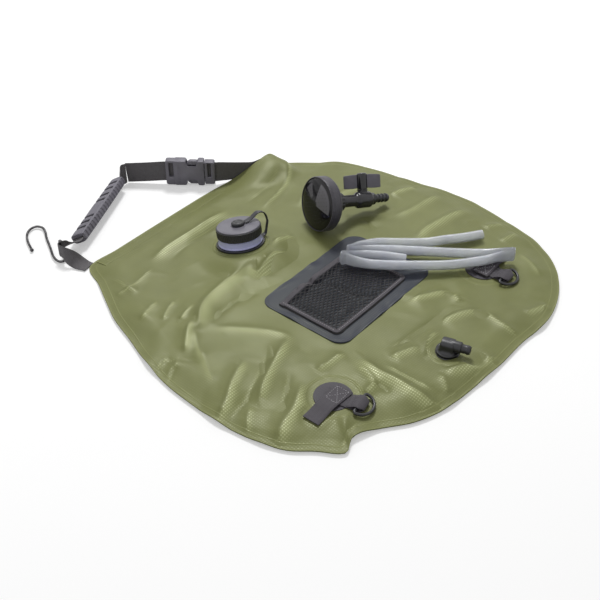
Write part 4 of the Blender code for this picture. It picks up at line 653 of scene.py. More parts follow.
# %% Outline of the bag
BAG_HALF = np.array([0.255, 0.240])
SEAM_TOP, PLATEAU, FABRIC = 0.0015, 0.0070, 0.0006
outline_shares = np.array([
    (0.00, 1.002), (-0.235, 1.000), (-0.47, 0.996), (-0.643, 0.992), (-0.706, 0.854), (-0.773, 0.717),
    (-0.835, 0.583), (-0.886, 0.417), (-0.941, 0.250), (-0.980, 0.075), (-0.996, -0.117), (-1.000, -0.275),
    (-0.980, -0.442), (-0.941, -0.575), (-0.871, -0.675), (-0.804, -0.775), (-0.729, -0.750),
    (-0.627, -0.796), (-0.502, -0.892), (-0.361, -0.950), (-0.176, -0.975), (0.00, -0.988), (0.196, -0.988),
    (0.373, -1.004), (0.549, -0.963), (0.706, -0.875), (0.812, -0.767), (0.878, -0.642), (0.922, -0.492),
    (0.961, -0.333), (0.984, -0.150), (0.973, 0.021), (0.941, 0.208), (0.922, 0.383), (0.871, 0.575),
    (0.796, 0.688), (0.729, 0.779), (0.675, 0.858), (0.627, 0.896), (0.573, 0.917), (0.502, 0.929),
    (0.416, 0.958), (0.314, 0.992), (0.157, 1.002)])
edge_line = smooth_line(outline_shares * BAG_HALF, 12, closed=True)
edge_angle = np.arctan2(edge_line[:, 1], edge_line[:, 0])
edge_radius = np.hypot(edge_line[:, 0], edge_line[:, 1])
edge_order = np.argsort(edge_angle)
top_line = edge_line[edge_line[:, 1] > BAG_HALF[1] / 2]
top_line = top_line[np.argsort(top_line[:, 0])]


def top_edge(x):
    """The bag's top edge at x."""
    return np.interp(x, top_line[:, 0], top_line[:, 1])


def edge_share(x, y):
    """How far a place is from the middle, as a share of the way to the edge in that direction."""
    reach = np.interp(np.arctan2(y, x), edge_angle[edge_order], edge_radius[edge_order], period=2 * math.pi)
    return np.hypot(x, y) / reach


print("bag %.0f x %.0f mm" % tuple(np.ptp(edge_line, axis=0) * 1000))

# %% Lifted corner and plain height
FILLER_AT, FILLER_Z = (-0.0203, 0.1205), 0.0095
LEAN, LEAN_WAY = math.radians(12.3), math.radians(69.2)
FILLER_PLANE, FILLER_FADE = 0.036, 0.034        # radius of the leaning plane, and the ring that it fades over
CORNER_AT, CORNER_RISE = (0.146, 0.222), 0.022
CORNER_LEFT, CORNER_RIGHT, CORNER_IN = 0.074, 0.030, 0.060      # half axes of the lifted oval
RAMP = 0.14                                     # share of the way in over which the sheet rises from the seam


def corner_lift(x, y):
    """22 mm at the folded corner, easing to nothing along an oval round it."""
    cx, cy = CORNER_AT
    across = np.where(x < cx, (cx - x) / CORNER_LEFT, (x - cx) / CORNER_RIGHT)
    return CORNER_RISE * (1 - ease(np.hypot(across, (y - cy) / CORNER_IN)))


def plain_height(x, y):
    """Top of the upper sheet without folds: seam, ramp, plateau, corner and the filler's leaning plane."""
    z = SEAM_TOP + (PLATEAU - SEAM_TOP) * ease((1 - edge_share(x, y)) / RAMP) + corner_lift(x, y)
    dx, dy = x - FILLER_AT[0], y - FILLER_AT[1]
    plane = FILLER_Z - math.tan(LEAN) * (dx * math.cos(LEAN_WAY) + dy * math.sin(LEAN_WAY))
    weight = 1 - ease((np.hypot(dx, dy) - FILLER_PLANE) / FILLER_FADE)
    return z * (1 - weight) + np.maximum(plane, SEAM_TOP) * weight


# %% [markdown]
# # Folds, creases and calm places
# The long folds are placed one by one, in millimetres: they run from fitting to fitting, as cloth does
# when it is held at a few points. The small crumples are many, so they come from a seeded random
# generator, which gives the same ones on each run. Where a fitting, the hose or the spray head lies, the
# cloth is kept calm.

# %% The long folds
FAR_WAY = (0.770, 0.638)        # the way along the floor that leads away from the camera
long_folds = [
    # points in mm, height, width on the near side, width on the far side
    ([(30, 187), (3, 187), (-26, 187), (-55, 188), (-84, 188), (-118, 184)], 3.6, 13, 8),
    ([(20, 170), (-20, 172), (-60, 172), (-104, 166)], -1.3, 7, 7),
    ([(-56, 76), (-54, 64), (-40, 62), (-24, 66), (-2, 68), (10, 66)], 3.8, 9, 6),
    ([(-14, 88), (4, 90), (26, 87), (40, 82)], 3.4, 8, 6),
    ([(-250, 18), (-238, 26), (-224, 32), (-212, 34)], 1.6, 5, 4),
    ([(-186, 168), (-170, 165), (-162, 150)], 1.8, 5, 5),
    ([(-157, 66), (-170, 62), (-184, 54), (-208, 33)], 2.2, 9, 7),
    ([(-86, -112), (-92, -128), (-96, -148), (-95, -170), (-96, -196), (-94, -216), (-84, -226)], 5.6, 15, 6),
    ([(-100, -122), (-106, -138), (-112, -152), (-126, -158)], 2.4, 6, 4),
    ([(-66, -128), (-36, -138), (-4, -142), (26, -148), (54, -146)], -2.0, 5, 5),
    ([(2, -154), (-14, -156), (-32, -162), (-44, -172)], 2.8, 6, 4),
    ([(-52, -194), (-40, -206), (-24, -214), (-6, -220), (12, -230)], 3.4, 13, 8),
    ([(14, -148), (30, -154), (46, -162), (62, -174)], 3.2, 11, 6),
    ([(58, -150), (62, -143), (68, -136)], 2.6, 5, 4),
    ([(20, -98), (40, -110), (54, -118), (70, -126)], 3.2, 10, 6),
    ([(120, -42), (150, -34), (180, -38), (206, -44), (232, -52)], 3.0, 12, 9),
    ([(186, 44), (200, 43), (214, 38), (230, 30)], 3.0, 8, 6),
    ([(88, -216), (104, -220), (124, -226)], 2.8, 10, 6),
    ([(158, 228), (162, 214), (152, 190), (128, 172), (96, 162), (52, 154)], 3.4, 6, 12),
    ([(146, 196), (118, 184), (84, 180), (50, 178)], -1.3, 8, 8),
    ([(96, 92), (126, 100), (158, 96), (196, 84)], 2.2, 14, 12),
    ([(150, 14), (176, 6), (206, 2), (236, -4)], 2.0, 12, 10),
    ([(88, 120), (118, 134), (150, 138)], 1.6, 10, 10),
    ([(-2, 71), (-21, 69), (-40, 66), (-52, 65), (-50, 81)], 4.6, 11, 6),
    ([(-46, 82), (-69, 83), (-91, 83), (-122, 79), (-142, 71), (-157, 60), (-173, 44)], 6.4, 16, 9),
    ([(-71, 38), (-86, 47), (-102, 51), (-130, 51), (-157, 46)], -2.4, 6, 8),
    ([(-158, 45), (-141, 24), (-125, -1), (-113, -28), (-108, -45)], 2.2, 12, 5),
    ([(-110, -35), (-135, -43), (-161, -52), (-185, -62), (-218, -81)], 5.4, 10, 10),
    ([(-139, -31), (-173, -49), (-206, -61), (-231, -67), (-252, -70)], -2.6, 7, 7),
    ([(-169, -20), (-192, -30), (-210, -38), (-232, -51), (-264, -63)], 4.2, 10, 10),
    ([(-159, -90), (-178, -103), (-196, -111), (-219, -117), (-247, -130)], 4.4, 12, 12),
    ([(-150, -68), (-172, -84), (-193, -96), (-217, -107)], -1.8, 6, 6),
    ([(-93, -99), (-106, -96), (-121, -95), (-138, -92)], 3.4, 8, 6),
    ([(-219, -73), (-236, -84), (-251, -96)], 2.0, 7, 7),
    ([(-161, 123), (-179, 119), (-200, 112)], 2.0, 7, 5),
    ([(-147, 108), (-163, 103), (-185, 91)], 2.2, 5, 5),
    ([(-142, 83), (-155, 82), (-173, 76)], 2.2, 5, 4),
    ([(-121, 173), (-140, 169), (-158, 166), (-176, 167)], 1.8, 5, 5),
    ([(-166, 67), (-185, 51), (-206, 35)], 1.6, 8, 6),
    ([(-172, 51), (-189, 30), (-203, 9)], 1.5, 6, 8),
    ([(-232, 53), (-226, 39), (-214, 30), (-204, 8)], -1.4, 5, 5),
    ([(-223, 30), (-235, 25), (-249, 18)], -1.6, 3, 3),
    ([(-244, 44), (-233, 45), (-221, 45)], 1.8, 5, 4),
    ([(-186, 29), (-206, -1), (-220, -26)], 1.4, 9, 9),
    ([(-165, 196), (-163, 181), (-169, 159)], 1.2, 5, 5),
    ([(65, -178), (59, -198), (56, -216), (53, -231)], 2.6, 7, 5),
    ([(-134, -165), (-150, -170), (-171, -174), (-190, -177), (-210, -186)], -2.2, 6, 6),
    ([(-133, -153), (-121, -153), (-111, -155)], 2.8, 8, 5),
    ([(-110, -154), (-112, -164), (-114, -175)], -1.6, 4, 4),
    ([(-71, -140), (-54, -146), (-33, -156)], 2.6, 11, 5),
    ([(-80, -142), (-82, -164), (-81, -189), (-80, -209)], 2.0, 6, 6),
    ([(191, -120), (208, -124), (224, -126)], 2.0, 8, 6),
    ([(205, -89), (219, -96), (231, -103)], 1.8, 7, 5),
    ([(125, 42), (121, 26), (114, 10)], -1.5, 5, 4),
    ([(186, -153), (178, -175), (163, -197)], 1.4, 8, 7),
    ([(-55, -196), (-64, -210), (-75, -220)], 1.6, 6, 6)]


def nearest(x, y, line):
    """For each place: its distance from the line, on which side it is, and how far along, from 0 to 1."""
    away, aside, where = np.full(x.shape, 1e9), np.zeros(x.shape), np.zeros(x.shape)
    for k in range(len(line) - 1):
        a, step = line[k], line[k + 1] - line[k]
        t = np.clip(((x - a[0]) * step[0] + (y - a[1]) * step[1]) / (step @ step), 0, 1)
        gap = np.hypot(x - a[0] - t * step[0], y - a[1] - t * step[1])
        side = step[0] * (y - a[1]) - step[1] * (x - a[0])
        closer = gap < away
        away, aside = np.where(closer, gap, away), np.where(closer, side, aside)
        where = np.where(closer, (k + t) / (len(line) - 1), where)
    return away, aside, where


def fold(x, y, points, height, near_side, far_side, crisp=1.25):
    """Two heights for each place: the cloth's lift, height times exp(-(distance / width) ^ crisp), and a
    strip for painted light, near 1 on the near side, where a painted highlight goes, and below 0 on the far
    side, where painted shade goes. Both fade out at the two ends."""
    line = even(smooth_line(np.array(points) / 1000.0, 6), 22)
    reach = 0.0045 * max(near_side, far_side)            # 4.5 widths: nothing is left of a fold beyond them
    close = (x > line[:, 0].min() - reach) & (x < line[:, 0].max() + reach)
    close &= (y > line[:, 1].min() - reach) & (y < line[:, 1].max() + reach)
    away, aside, where = nearest(x[close], y[close], line)
    whole = line[-1] - line[0]
    to_far = 1 if whole[0] * FAR_WAY[1] - whole[1] * FAR_WAY[0] > 0 else -1
    toward_near = -np.sign(aside) * to_far * away
    wide = np.where(toward_near > 0, near_side, far_side) / 1000.0
    fade = ease(where / 0.25) * ease((1 - where) / 0.25)
    lifted, strip = np.zeros(x.shape), np.zeros(x.shape)
    lifted[close] = height / 1000.0 * np.exp(-(away / wide) ** crisp) * fade
    share = toward_near * 1000.0 / near_side
    # A painted highlight on the near slope, and a line of painted shade just behind the fold.
    wear_and_painted_light = ease((share + 0.06) / 0.24) * np.exp(-(np.maximum(share - 0.22, 0) / 0.55) ** 2)
    wear_and_painted_light = wear_and_painted_light - 0.55 * np.exp(-((share + 0.30) / 0.20) ** 2)
    strip[close] = np.clip(height / 4.0, -0.5, 1) * wear_and_painted_light * fade
    return lifted, strip


# %% Small crumples
SCATTER = 920                   # millimetres of scatter for each metre of the bag's half size


def crumple_lines(count, seed, half, height, wide, crisp):
    """Slightly bent lines all over the bag, whose ways scatter round 149 degrees from +X. half, height and
    wide are ranges in millimetres: of half the length, of the lift and of the width on each side."""
    rng = np.random.default_rng(seed)
    middle = rng.uniform(-1, 1, (count, 2)) * BAG_HALF * SCATTER
    angle = rng.normal(2.6, 0.80, count)
    reach = rng.uniform(*half, count)
    bend = rng.normal(0, 0.22, count)
    lines = []
    for (cx, cy), a, r, b in zip(middle, angle, reach, bend):
        way, side = np.array([math.cos(a), math.sin(a)]), np.array([-math.sin(a), math.cos(a)])
        points = [np.array([cx, cy]) + way * r * t + side * r * b * t * t for t in (-1, -0.4, 0.3, 1)]
        lines.append((points, rng.uniform(*height) * (1 if rng.random() < 0.7 else -0.8),
                      rng.uniform(*wide), rng.uniform(*wide), crisp))
    return lines


broad_folds = crumple_lines(46, seed=5, half=(28, 66), height=(0.35, 1.10), wide=(9, 26), crisp=1.05)
small_folds = crumple_lines(70, seed=11, half=(8, 26), height=(0.12, 0.55), wide=(2.0, 6.0), crisp=1.1)
HEAD_PLACE, TAIL_PLACE = (0.072, 0.069), (0.172, 0.034)  # where the spray head and its hose tail lie
PATCH_AT, PATCH_HALF = np.array([0.0, -0.031]), np.array([0.089, 0.061])
PATCH_ROUND, PATCH_EDGE = 0.016, 0.007
calm_circles = [
    # x, y, radius that is calm, radius that is free
    (*LEFT_RING, 0.026, 0.034), (*RIGHT_RING, 0.026, 0.036), (*OUTLET_AT, 0.016, 0.026),
    (*FILLER_AT, 0.037, 0.047), (*HEAD_PLACE, 0.024, 0.040), (*TAIL_PLACE, 0.010, 0.022),
    # flaps of the anchors, their rings, and the tip of the outlet's spigot
    (-0.190, -0.135, 0.012, 0.020), (-0.175, -0.135, 0.014, 0.022), (0.165, -0.139, 0.014, 0.024),
    (-0.148, -0.166, 0.016, 0.026), (0.132, -0.170, 0.016, 0.026), (-0.012, -0.212, 0.010, 0.018)]


def calm(x, y):
    """0 where something lies on the cloth and 1 where nothing does."""
    free = np.ones(x.shape)
    for cx, cy, inner, outer in calm_circles:
        free = np.minimum(free, ease((np.hypot(x - cx, y - cy) - inner) / (outer - inner)))
    off_x = np.maximum(np.abs(x - PATCH_AT[0]) - PATCH_HALF[0] + PATCH_EDGE, 0)
    off_y = np.maximum(np.abs(y - PATCH_AT[1]) - PATCH_HALF[1] + PATCH_EDGE, 0)
    free = np.minimum(free, 0.12 + 0.88 * ease((np.hypot(off_x, off_y) - PATCH_EDGE) / 0.016))
    for px, py, pz in hose_line[::14]:
        free = np.minimum(free, ease((np.hypot(x - px, y - py) - 0.004) / 0.022 + (pz - 0.016) * 40))
    return free


def fold_height(x, y):
    """All folds and crumples together, held down under what lies on the bag and at the seam."""
    z = sum(fold(x, y, *each)[0] for each in long_folds + broad_folds + small_folds)
    drift = 0.0007 * np.sin(x * 61 + 2.0 * np.sin(y * 23)) * np.sin(y * 57 + 1.3 * np.sin(x * 31 + 1))
    return (z + drift) * calm(x, y) * ease((1 - edge_share(x, y)) / 0.07 + 0.10)


def painted_light_strips(x, y):
    """Where the cloth's light and shade are painted: 0 to 1 on the near slopes of the long folds, below 0 in
    the valleys.
    """
    return np.clip(sum(fold(x, y, *each)[1] for each in long_folds), -0.6, 1) * calm(x, y)


def bag_top(x, y):
    """Top of the upper sheet with its folds, never below the lower sheet."""
    x, y = np.asarray(x, float), np.asarray(y, float)
    return np.maximum(plain_height(x, y) + fold_height(x, y), 0.0016)


print("long folds %d, broad %d, small %d" % (len(long_folds), len(broad_folds), len(small_folds)))

# %% [markdown]
# # The two sheets
# The upper sheet is a grid of rings that starts at the filler's hole and ends at the seam, so its rows
# follow the weld lines and a UV map can hold the distance from the edge. Its inner side lies the cloth's
# thickness lower and joins it at both rims. The seam isn't dead flat: a slow ripple along the edge lifts
# both sheets alike.

# %% Upper sheet
RAYS, RINGS, HOLE_R = 520, 140, 0.0265
EDGE_REACH = 0.045                      # how far in from the seam its ripple goes
STRAP_SIDE, STRAP_FADE = 0.215, 0.03    # the ripple ends at this y, and fades out over this way


def seam_ripple(way):
    """2 mm of lift along the edge, and up to 5.4 mm where three waves of unlike length add up."""
    wave = np.sin(way * 41) + 0.8 * np.sin(way * 67 + 2) + 0.6 * np.sin(way * 113 + 4)
    return 0.0020 + 0.0012 * np.maximum(wave, 0) ** 1.2


def sheet_grid(start, rings, count):
    """Places from a start (a ring or a point) to the edge, closer together at both ends."""
    rim = even(edge_line, count, closed=True)
    t = np.linspace(0, 1, rings)
    share = (t - 0.45 * np.sin(2 * math.pi * t) / (2 * math.pi))[:, None, None]
    inner = start(rim) if callable(start) else np.broadcast_to(np.array(start, float), rim.shape)
    return inner * (1 - share) + rim * share, rim


def hole_ring(rim):
    """The filler's hole, with a point toward each point of the edge."""
    a = np.arctan2(rim[:, 1] - FILLER_AT[1], rim[:, 0] - FILLER_AT[0])
    return np.array(FILLER_AT) + HOLE_R * np.stack([np.cos(a), np.sin(a)], axis=1)


def edge_ease(plan, rim):
    """Two grids: 1 at the seam, falling to 0 inside it and at the top edge, which the strap holds down, and
    each place's distance from the seam."""
    away = np.linalg.norm(plan - rim[None], axis=2)
    return (1 - ease(away / EDGE_REACH)) * ease((STRAP_SIDE - rim[:, 1]) / STRAP_FADE)[None], away


def make_upper():
    """Top rings out to the seam and inner rings back, a cloth's thickness lower."""
    plan, rim = sheet_grid(hole_ring, RINGS, RAYS)
    x, y = plan[..., 0], plan[..., 1]
    at_edge, away = edge_ease(plan, rim)
    way = lengths(np.vstack([rim, rim[:1]]))
    z = bag_top(x, y) + at_edge * seam_ripple(way[:-1])[None]
    back = np.r_[RINGS - 1:0:-10, 0]            # every tenth ring is enough for the inner side
    top = np.stack([x, y, z], axis=2)
    under = np.stack([x[back], y[back], z[back] - FABRIC], axis=2)
    grid = np.concatenate([top, under])
    u = np.broadcast_to(way[None], (len(grid) + 1, RAYS + 1))
    v = np.concatenate([away, away[back], away[:1]])
    v = np.concatenate([v, v[:, :1]], axis=1)
    piece = surface("bag_upper", grid, ends="joined", uv=np.stack([u, v], axis=2), sharp=75)
    # A point attribute holds where the cloth's finish paints highlight and shade on the folds.
    painted_fold_light = painted_light_strips(x, y)
    painted_fold_light = np.concatenate([painted_fold_light, painted_fold_light[back] * 0])
    piece.data.attributes.new("painted_fold_light", "FLOAT", "POINT").data.foreach_set("value", painted_fold_light.ravel())
    return piece


upper = dress(make_upper(), "bag", olive, "olive_fabric", "front_panel")
print("highest fold %.1f mm" % (max(v.co.z for v in upper.data.vertices) * 1000))

# %% Lower sheet
def make_lower():
    """A closed double grid from the middle to the seam, flat but for the lifted corner and the ripple."""
    plan, rim = sheet_grid((0.0, 0.0), 46, RAYS // 2)
    at_edge, away = edge_ease(plan, rim)
    way = lengths(np.vstack([rim, rim[:1]]))
    lift = corner_lift(plan[..., 0], plan[..., 1]) + at_edge * seam_ripple(way[:-1])[None]
    low, high = (np.concatenate([plan, (lift + z)[..., None]], axis=2) for z in (0.0, FABRIC))
    grid = np.concatenate([high, low[::-1]])
    u = np.broadcast_to(way[None], (len(grid), RAYS // 2 + 1))
    v = np.concatenate([away, away[::-1]])
    v = np.concatenate([v, v[:, :1]], axis=1)
    return surface("bag_lower", grid, ends="poles", uv=np.stack([u, v], axis=2), sharp=75)


lower = dress(make_lower(), "bag", olive, "olive_fabric", "back_panel")

# %% Band along the top edge
HEM_FROM, HEM_TO, HEM_WIDTH, HEM_RISE = -0.153, 0.051, 0.018, 0.0007


def make_hem():
    """A welded strip on the upper sheet, its long edges pressed thin, with a weld line along it."""
    xs = np.linspace(HEM_FROM, HEM_TO, 150)
    t = np.linspace(0, 1, 15)
    y = (top_edge(xs) - 0.002)[:, None] - HEM_WIDTH * t[None]
    x = xs[:, None] + 0 * y
    sheet = bag_top(x, y)
    z = sheet + 0.0001 + HEM_RISE * (1 - np.abs(2 * t - 1) ** 6)[None]
    z -= 0.0002 * np.exp(-((t - 0.80) / 0.08) ** 2)[None]
    top_side, under = np.stack([x, y, z], axis=2), np.stack([x, y, sheet + 0.00005], axis=2)
    return surface("top_band", np.concatenate([top_side, under[:, ::-1]], axis=1), sharp=50)


dress(make_hem(), "bag", olive, "olive_fabric", "top_hem")


# %% [markdown]
# # The filler
# The neck is moulded in one with a milky collar and welded into a round disc, and the cap screws over it.
# All of these are turned shapes about one leaning axis. The cap's grip is a ripple in its radius, and the
# thread is a ripple whose phase moves with height, which makes it a helix.

# %% Filler: disc, neck and cap
filler_axis = (Matrix.Translation((*FILLER_AT, FILLER_Z)) @ Matrix.Rotation(LEAN_WAY, 4, "Z")
               @ Matrix.Rotation(LEAN, 4, "Y") @ Matrix.Rotation(-LEAN_WAY, 4, "Z"))


def mm(*pairs):
    """Profile points typed in millimetres."""
    return [(r / 1000.0, s / 1000.0) for r, s in pairs]


def lathe(name, body, finish, slot, profile, matrix=filler_axis, **how):
    """A turned piece that stands for the solid of the same name."""
    return dress(turned(name, profile, matrix, **how), body, finish, slot, name)


disc_profile = mm((26.3, -0.6), (26.3, 0.7), (30.6, 0.7), (31.1, 1.15), (31.9, 1.15), (32.4, 0.7),
                  (33.4, 0.7), (33.9, 1.05), (34.5, 1.05), (35.0, 0.6), (36.0, 0.35), (36.0, -0.45),
                  (35.4, -0.6))
lathe("filler_disc", "bag", olive, "olive_fabric", disc_profile, cut=0.0002)

THREAD_FROM, THREAD_TO, THREAD_PITCH, THREAD_DEPTH = 0.0140, 0.0199, 0.0022, 0.0005


def screw_thread(t, r, s):
    """The radius swings 0.5 mm in and out, once every 2.2 mm of height and once a turn."""
    swing = THREAD_DEPTH * np.cos(2 * math.pi * s / THREAD_PITCH - t)
    return np.where((s > THREAD_FROM) & (s < THREAD_TO) & (r > 0.0222), r - 0.0004 + swing, r)


neck_profile = mm((26.0, -0.6), (26.0, 3.3), (27.5, 3.8), (27.5, 5.0), (26.7, 5.6), (26.5, 11.4),
                  (27.3, 12.0), (27.4, 13.0), (23.2, 13.2))
neck_profile += [(0.0231, s) for s in np.arange(THREAD_FROM, THREAD_TO, 0.0004)]
neck_profile += mm((22.9, 20.5), (20.5, 20.5), (20.5, -0.6))
lathe("filler_neck", "bag", milky_blue, "clear_blue_plastic", neck_profile, cut=0.0002, ripple=screw_thread)
ring_profile = mm((26.3, 1.2), (30.2, 1.2), (30.2, 3.3), (26.3, 3.3))
lathe("tether_ring", "bag", soft_black, "black_plastic", ring_profile)

KNURLS, KNURL_DEPTH, KNURL_FROM, KNURL_TO = 64, 0.00055, 0.0139, 0.0238


def knurl(t, r, s):
    """Upright ribs round the side, which fade out near its top and bottom."""
    depth = KNURL_DEPTH * ease((KNURL_TO - s) / 0.0012) * ease((s - KNURL_FROM) / 0.0008)
    return np.where(r > 0.0270, r - depth * (0.5 - 0.5 * np.cos(KNURLS * t)) ** 1.5, r)


cap_profile = mm((24.0, 13.9), (27.9, 13.9), (28.0, 14.5), (28.0, 15.0), (28.0, 22.2), (28.0, 22.8),
                 (28.0, 23.6), (28.0, 24.1), (27.2, 24.7), (3.3, 24.7), (3.3, 22.5), (24.0, 22.5))
plate_profile = mm((3.3, 25.0), (26.8, 25.0), (26.8, 25.6), (26.2, 26.1), (25.2, 26.1), (25.0, 25.9),
                   (24.6, 25.9), (24.4, 26.1), (10.4, 26.1), (10.2, 25.9), (9.6, 25.9), (9.4, 26.1),
                   (3.3, 26.1))
button_profile = mm((0, 21.2), (5.0, 21.2), (5.0, 22.2), (3.0, 22.2), (3.0, 28.3), (8.2, 28.3), (8.3, 29.3),
                    (7.0, 30.4), (5.4, 30.5), (5.0, 30.1), (3.2, 30.1), (2.8, 30.4), (0, 30.5))
gasket_profile = mm((20.7, 20.8), (23.1, 20.8), (23.1, 22.2), (20.7, 22.2))
eye_profile = mm((3.3, 26.4), (8.3, 26.4), (8.3, 28.0), (3.3, 28.0))
lathe("filler_cap", "cap", black_plastic, "black_plastic", cap_profile, count=512, cut=0.0002, ripple=knurl)
# The cap's top is black plastic; its pale grey is a painted sheen.
lathe("cap_plate", "cap", painted_sheen_plastic, "pale_grey_plastic", plate_profile, cut=0.0002)
lathe("cap_gasket", "cap", seal_rubber, "seal_rubber", gasket_profile)
lathe("cap_button", "cap", black_plastic, "black_plastic", button_profile, cut=0.0003)
lathe("tether_eye", "tether_loop", soft_black, "black_plastic", eye_profile)

# %% Filler: tether
tether_route = mm((8.9, 27.2), (18.4, 29.7), (28.0, 34.7), (36.4, 31.6), (40.0, 20.6), (38.4, 13.9),
                  (35.2, 4.1), (30.8, 2.3))
TETHER_WAY = math.radians(-20)
tether_way = np.array([math.cos(TETHER_WAY), math.sin(TETHER_WAY), 0.0])
tether_side = np.array([-math.sin(TETHER_WAY), math.cos(TETHER_WAY), 0.0])


def make_tether():
    """A flat tongue 8 mm wide, narrower where it stands up as an arc, in the plane of its direction."""
    line = even(smooth_line(np.array(tether_route), 12), 70)
    local = line[:, :1] * tether_way + line[:, 1:] * np.array([0, 0, 1.0])
    t = np.linspace(0, 1, len(line))
    widths = 0.0082 - 0.0036 * ease((t - 0.30) / 0.15) + 0.0030 * ease((t - 0.85) / 0.15)
    across = np.broadcast_to(np.array(filler_axis)[:3, :3] @ tether_side, local.shape)
    return band("cap_tether", placed(local, filler_axis), across, widths, 0.0016)


tether = dress(make_tether(), None, soft_black, "black_plastic", "cap_tether")
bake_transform(tether)

# %% [markdown]
# # The outlet
# The elbow turns on a seal in a flange. Its body is a block with flat sides and an arched top, round only
# at its foot; the stepped spigot is turned, with a real bore in the open end, since that dark hole is what
# one sees.

# %% Outlet elbow
outlet_axis = Matrix.Translation((*OUTLET_AT, PLATEAU)) @ Matrix.Rotation(math.radians(-74), 4, "Z")
spigot_axis = outlet_axis @ Matrix.Translation((0, 0, 0.0110)) @ Matrix.Rotation(math.radians(90), 4, "Y")
flange_profile = mm((4.0, -1.1), (13.5, -1.1), (13.5, 0.1), (12.6, 0.8), (4.0, 0.8))
seal_profile = mm((6.8, 1.1), (9.2, 1.1), (9.2, 2.1), (6.8, 2.1))
lathe("outlet_flange", "bag", black_plastic, "black_plastic", flange_profile, outlet_axis)
lathe("outlet_seal", "elbow", seal_rubber, "seal_rubber", seal_profile, outlet_axis)
ARCH_FOOT, ARCH_RISE, BLOCK_HALF = 0.0124, 0.0050, 0.0078


def make_elbow_block():
    """Closed rows, round at the foot and boxy above; the top is an arch about the bore."""
    levels = np.array([(2.4, 12.4), (2.5, 12.9), (3.6, 13.0), (4.1, 12.6), (4.7, 10.6), (5.6, 9.2),
                       (7.2, 8.2), (9.0, 7.9), (11.0, 7.8), (12.4, 7.8)]) / 1000.0
    v = np.radians((18, 36, 52, 66, 78, 86))
    heights = np.concatenate([levels[:, 0], ARCH_FOOT + ARCH_RISE * np.sin(v)])
    across = np.concatenate([levels[:, 1], BLOCK_HALF * np.cos(v) ** 0.75])
    along = np.concatenate([levels[:, 1], BLOCK_HALF - 0.0003 * np.arange(len(v))])
    power = 0.30 + 0.70 * (1 - ease((heights - 0.0036) / 0.0036))
    c, s = superellipse(np.linspace(0, 2 * math.pi, 96, endpoint=False)[None], power[:, None])
    x, y = along[:, None] * c, across[:, None] * s
    grid = np.stack([x, y, heights[:, None] + 0 * x], axis=2)
    return surface("elbow_body", placed(grid, outlet_axis), ends="capped", sharp=35)


elbow_body = make_elbow_block()
spigot_profile = mm((0, 1.0), (6.4, 1.0), (6.6, 8.0), (6.6, 14.2), (6.0, 15.0), (5.0, 15.3), (5.0, 20.6),
                    (5.35, 21.4), (5.2, 22.4), (4.7, 25.0), (3.2, 25.0), (3.2, 4.0), (0, 4.0))
spigot = turned("spigot", spigot_profile, spigot_axis, count=64, cut=0.0004)
dress(together("outlet_elbow", [elbow_body, spigot]), "elbow", black_plastic, "black_plastic", "outlet_elbow")

# %% [markdown]
# # Flat pads and sewn tape
# A pad is a cloth or rubber patch of any outline, laid on the bag: a grid from its middle to its edge, at
# the height of the bag's top. Webbing is sewn with rows of short stitches. Each is a small bar with thin
# ends, and all the stitches of a piece are one mesh.

# %% Pads, closed wires and stitches
def pad(name, outline, low, thick, rings=18, wave=None):
    """A closed patch: top and bottom grids from its middle to the outline; low(x, y) is its underside."""
    rim = even(np.asarray(outline, float), 240, closed=True)
    t = np.sin(np.linspace(0, math.pi / 2, rings))[:, None, None]
    middle = rim.mean(axis=0)
    plan = middle + (rim - middle) * t
    x, y = plan[..., 0], plan[..., 1]
    away = np.linalg.norm(plan - rim[None], axis=2)
    base = low(x, y)
    top = base + thick * np.clip(away / (thick * 0.6) + 0.35, 0, 1) ** 0.5
    if wave is not None:
        lift = wave(x, y, away)
        top, base = top + lift, base + np.minimum(lift, 0)
    grid = np.concatenate([np.stack([x, y, top], axis=2), np.stack([x, y, base], axis=2)[::-1]])
    way = lengths(np.vstack([rim, rim[:1]]))
    v = np.concatenate([away, away[::-1]])
    v = np.concatenate([v, v[:, :1]], axis=1)
    u = np.broadcast_to(way, (len(grid), len(way)))
    return surface(name, grid, ends="poles", uv=np.stack([u, v], axis=2), sharp=50)


def loop_wire(name, loop, normal, radius, count=16):
    """A closed round wire; its rings stand square to the line, one axis of each along the plane's normal."""
    along = unit(np.roll(loop, -1, axis=0) - np.roll(loop, 1, axis=0))
    side = unit(np.cross(along, normal))
    t = np.linspace(0, 2 * math.pi, count, endpoint=False)
    ring = side[:, None] * np.cos(t)[None, :, None] + np.asarray(normal) * np.sin(t)[None, :, None]
    return surface(name, loop[:, None] + radius * ring, ends="joined")


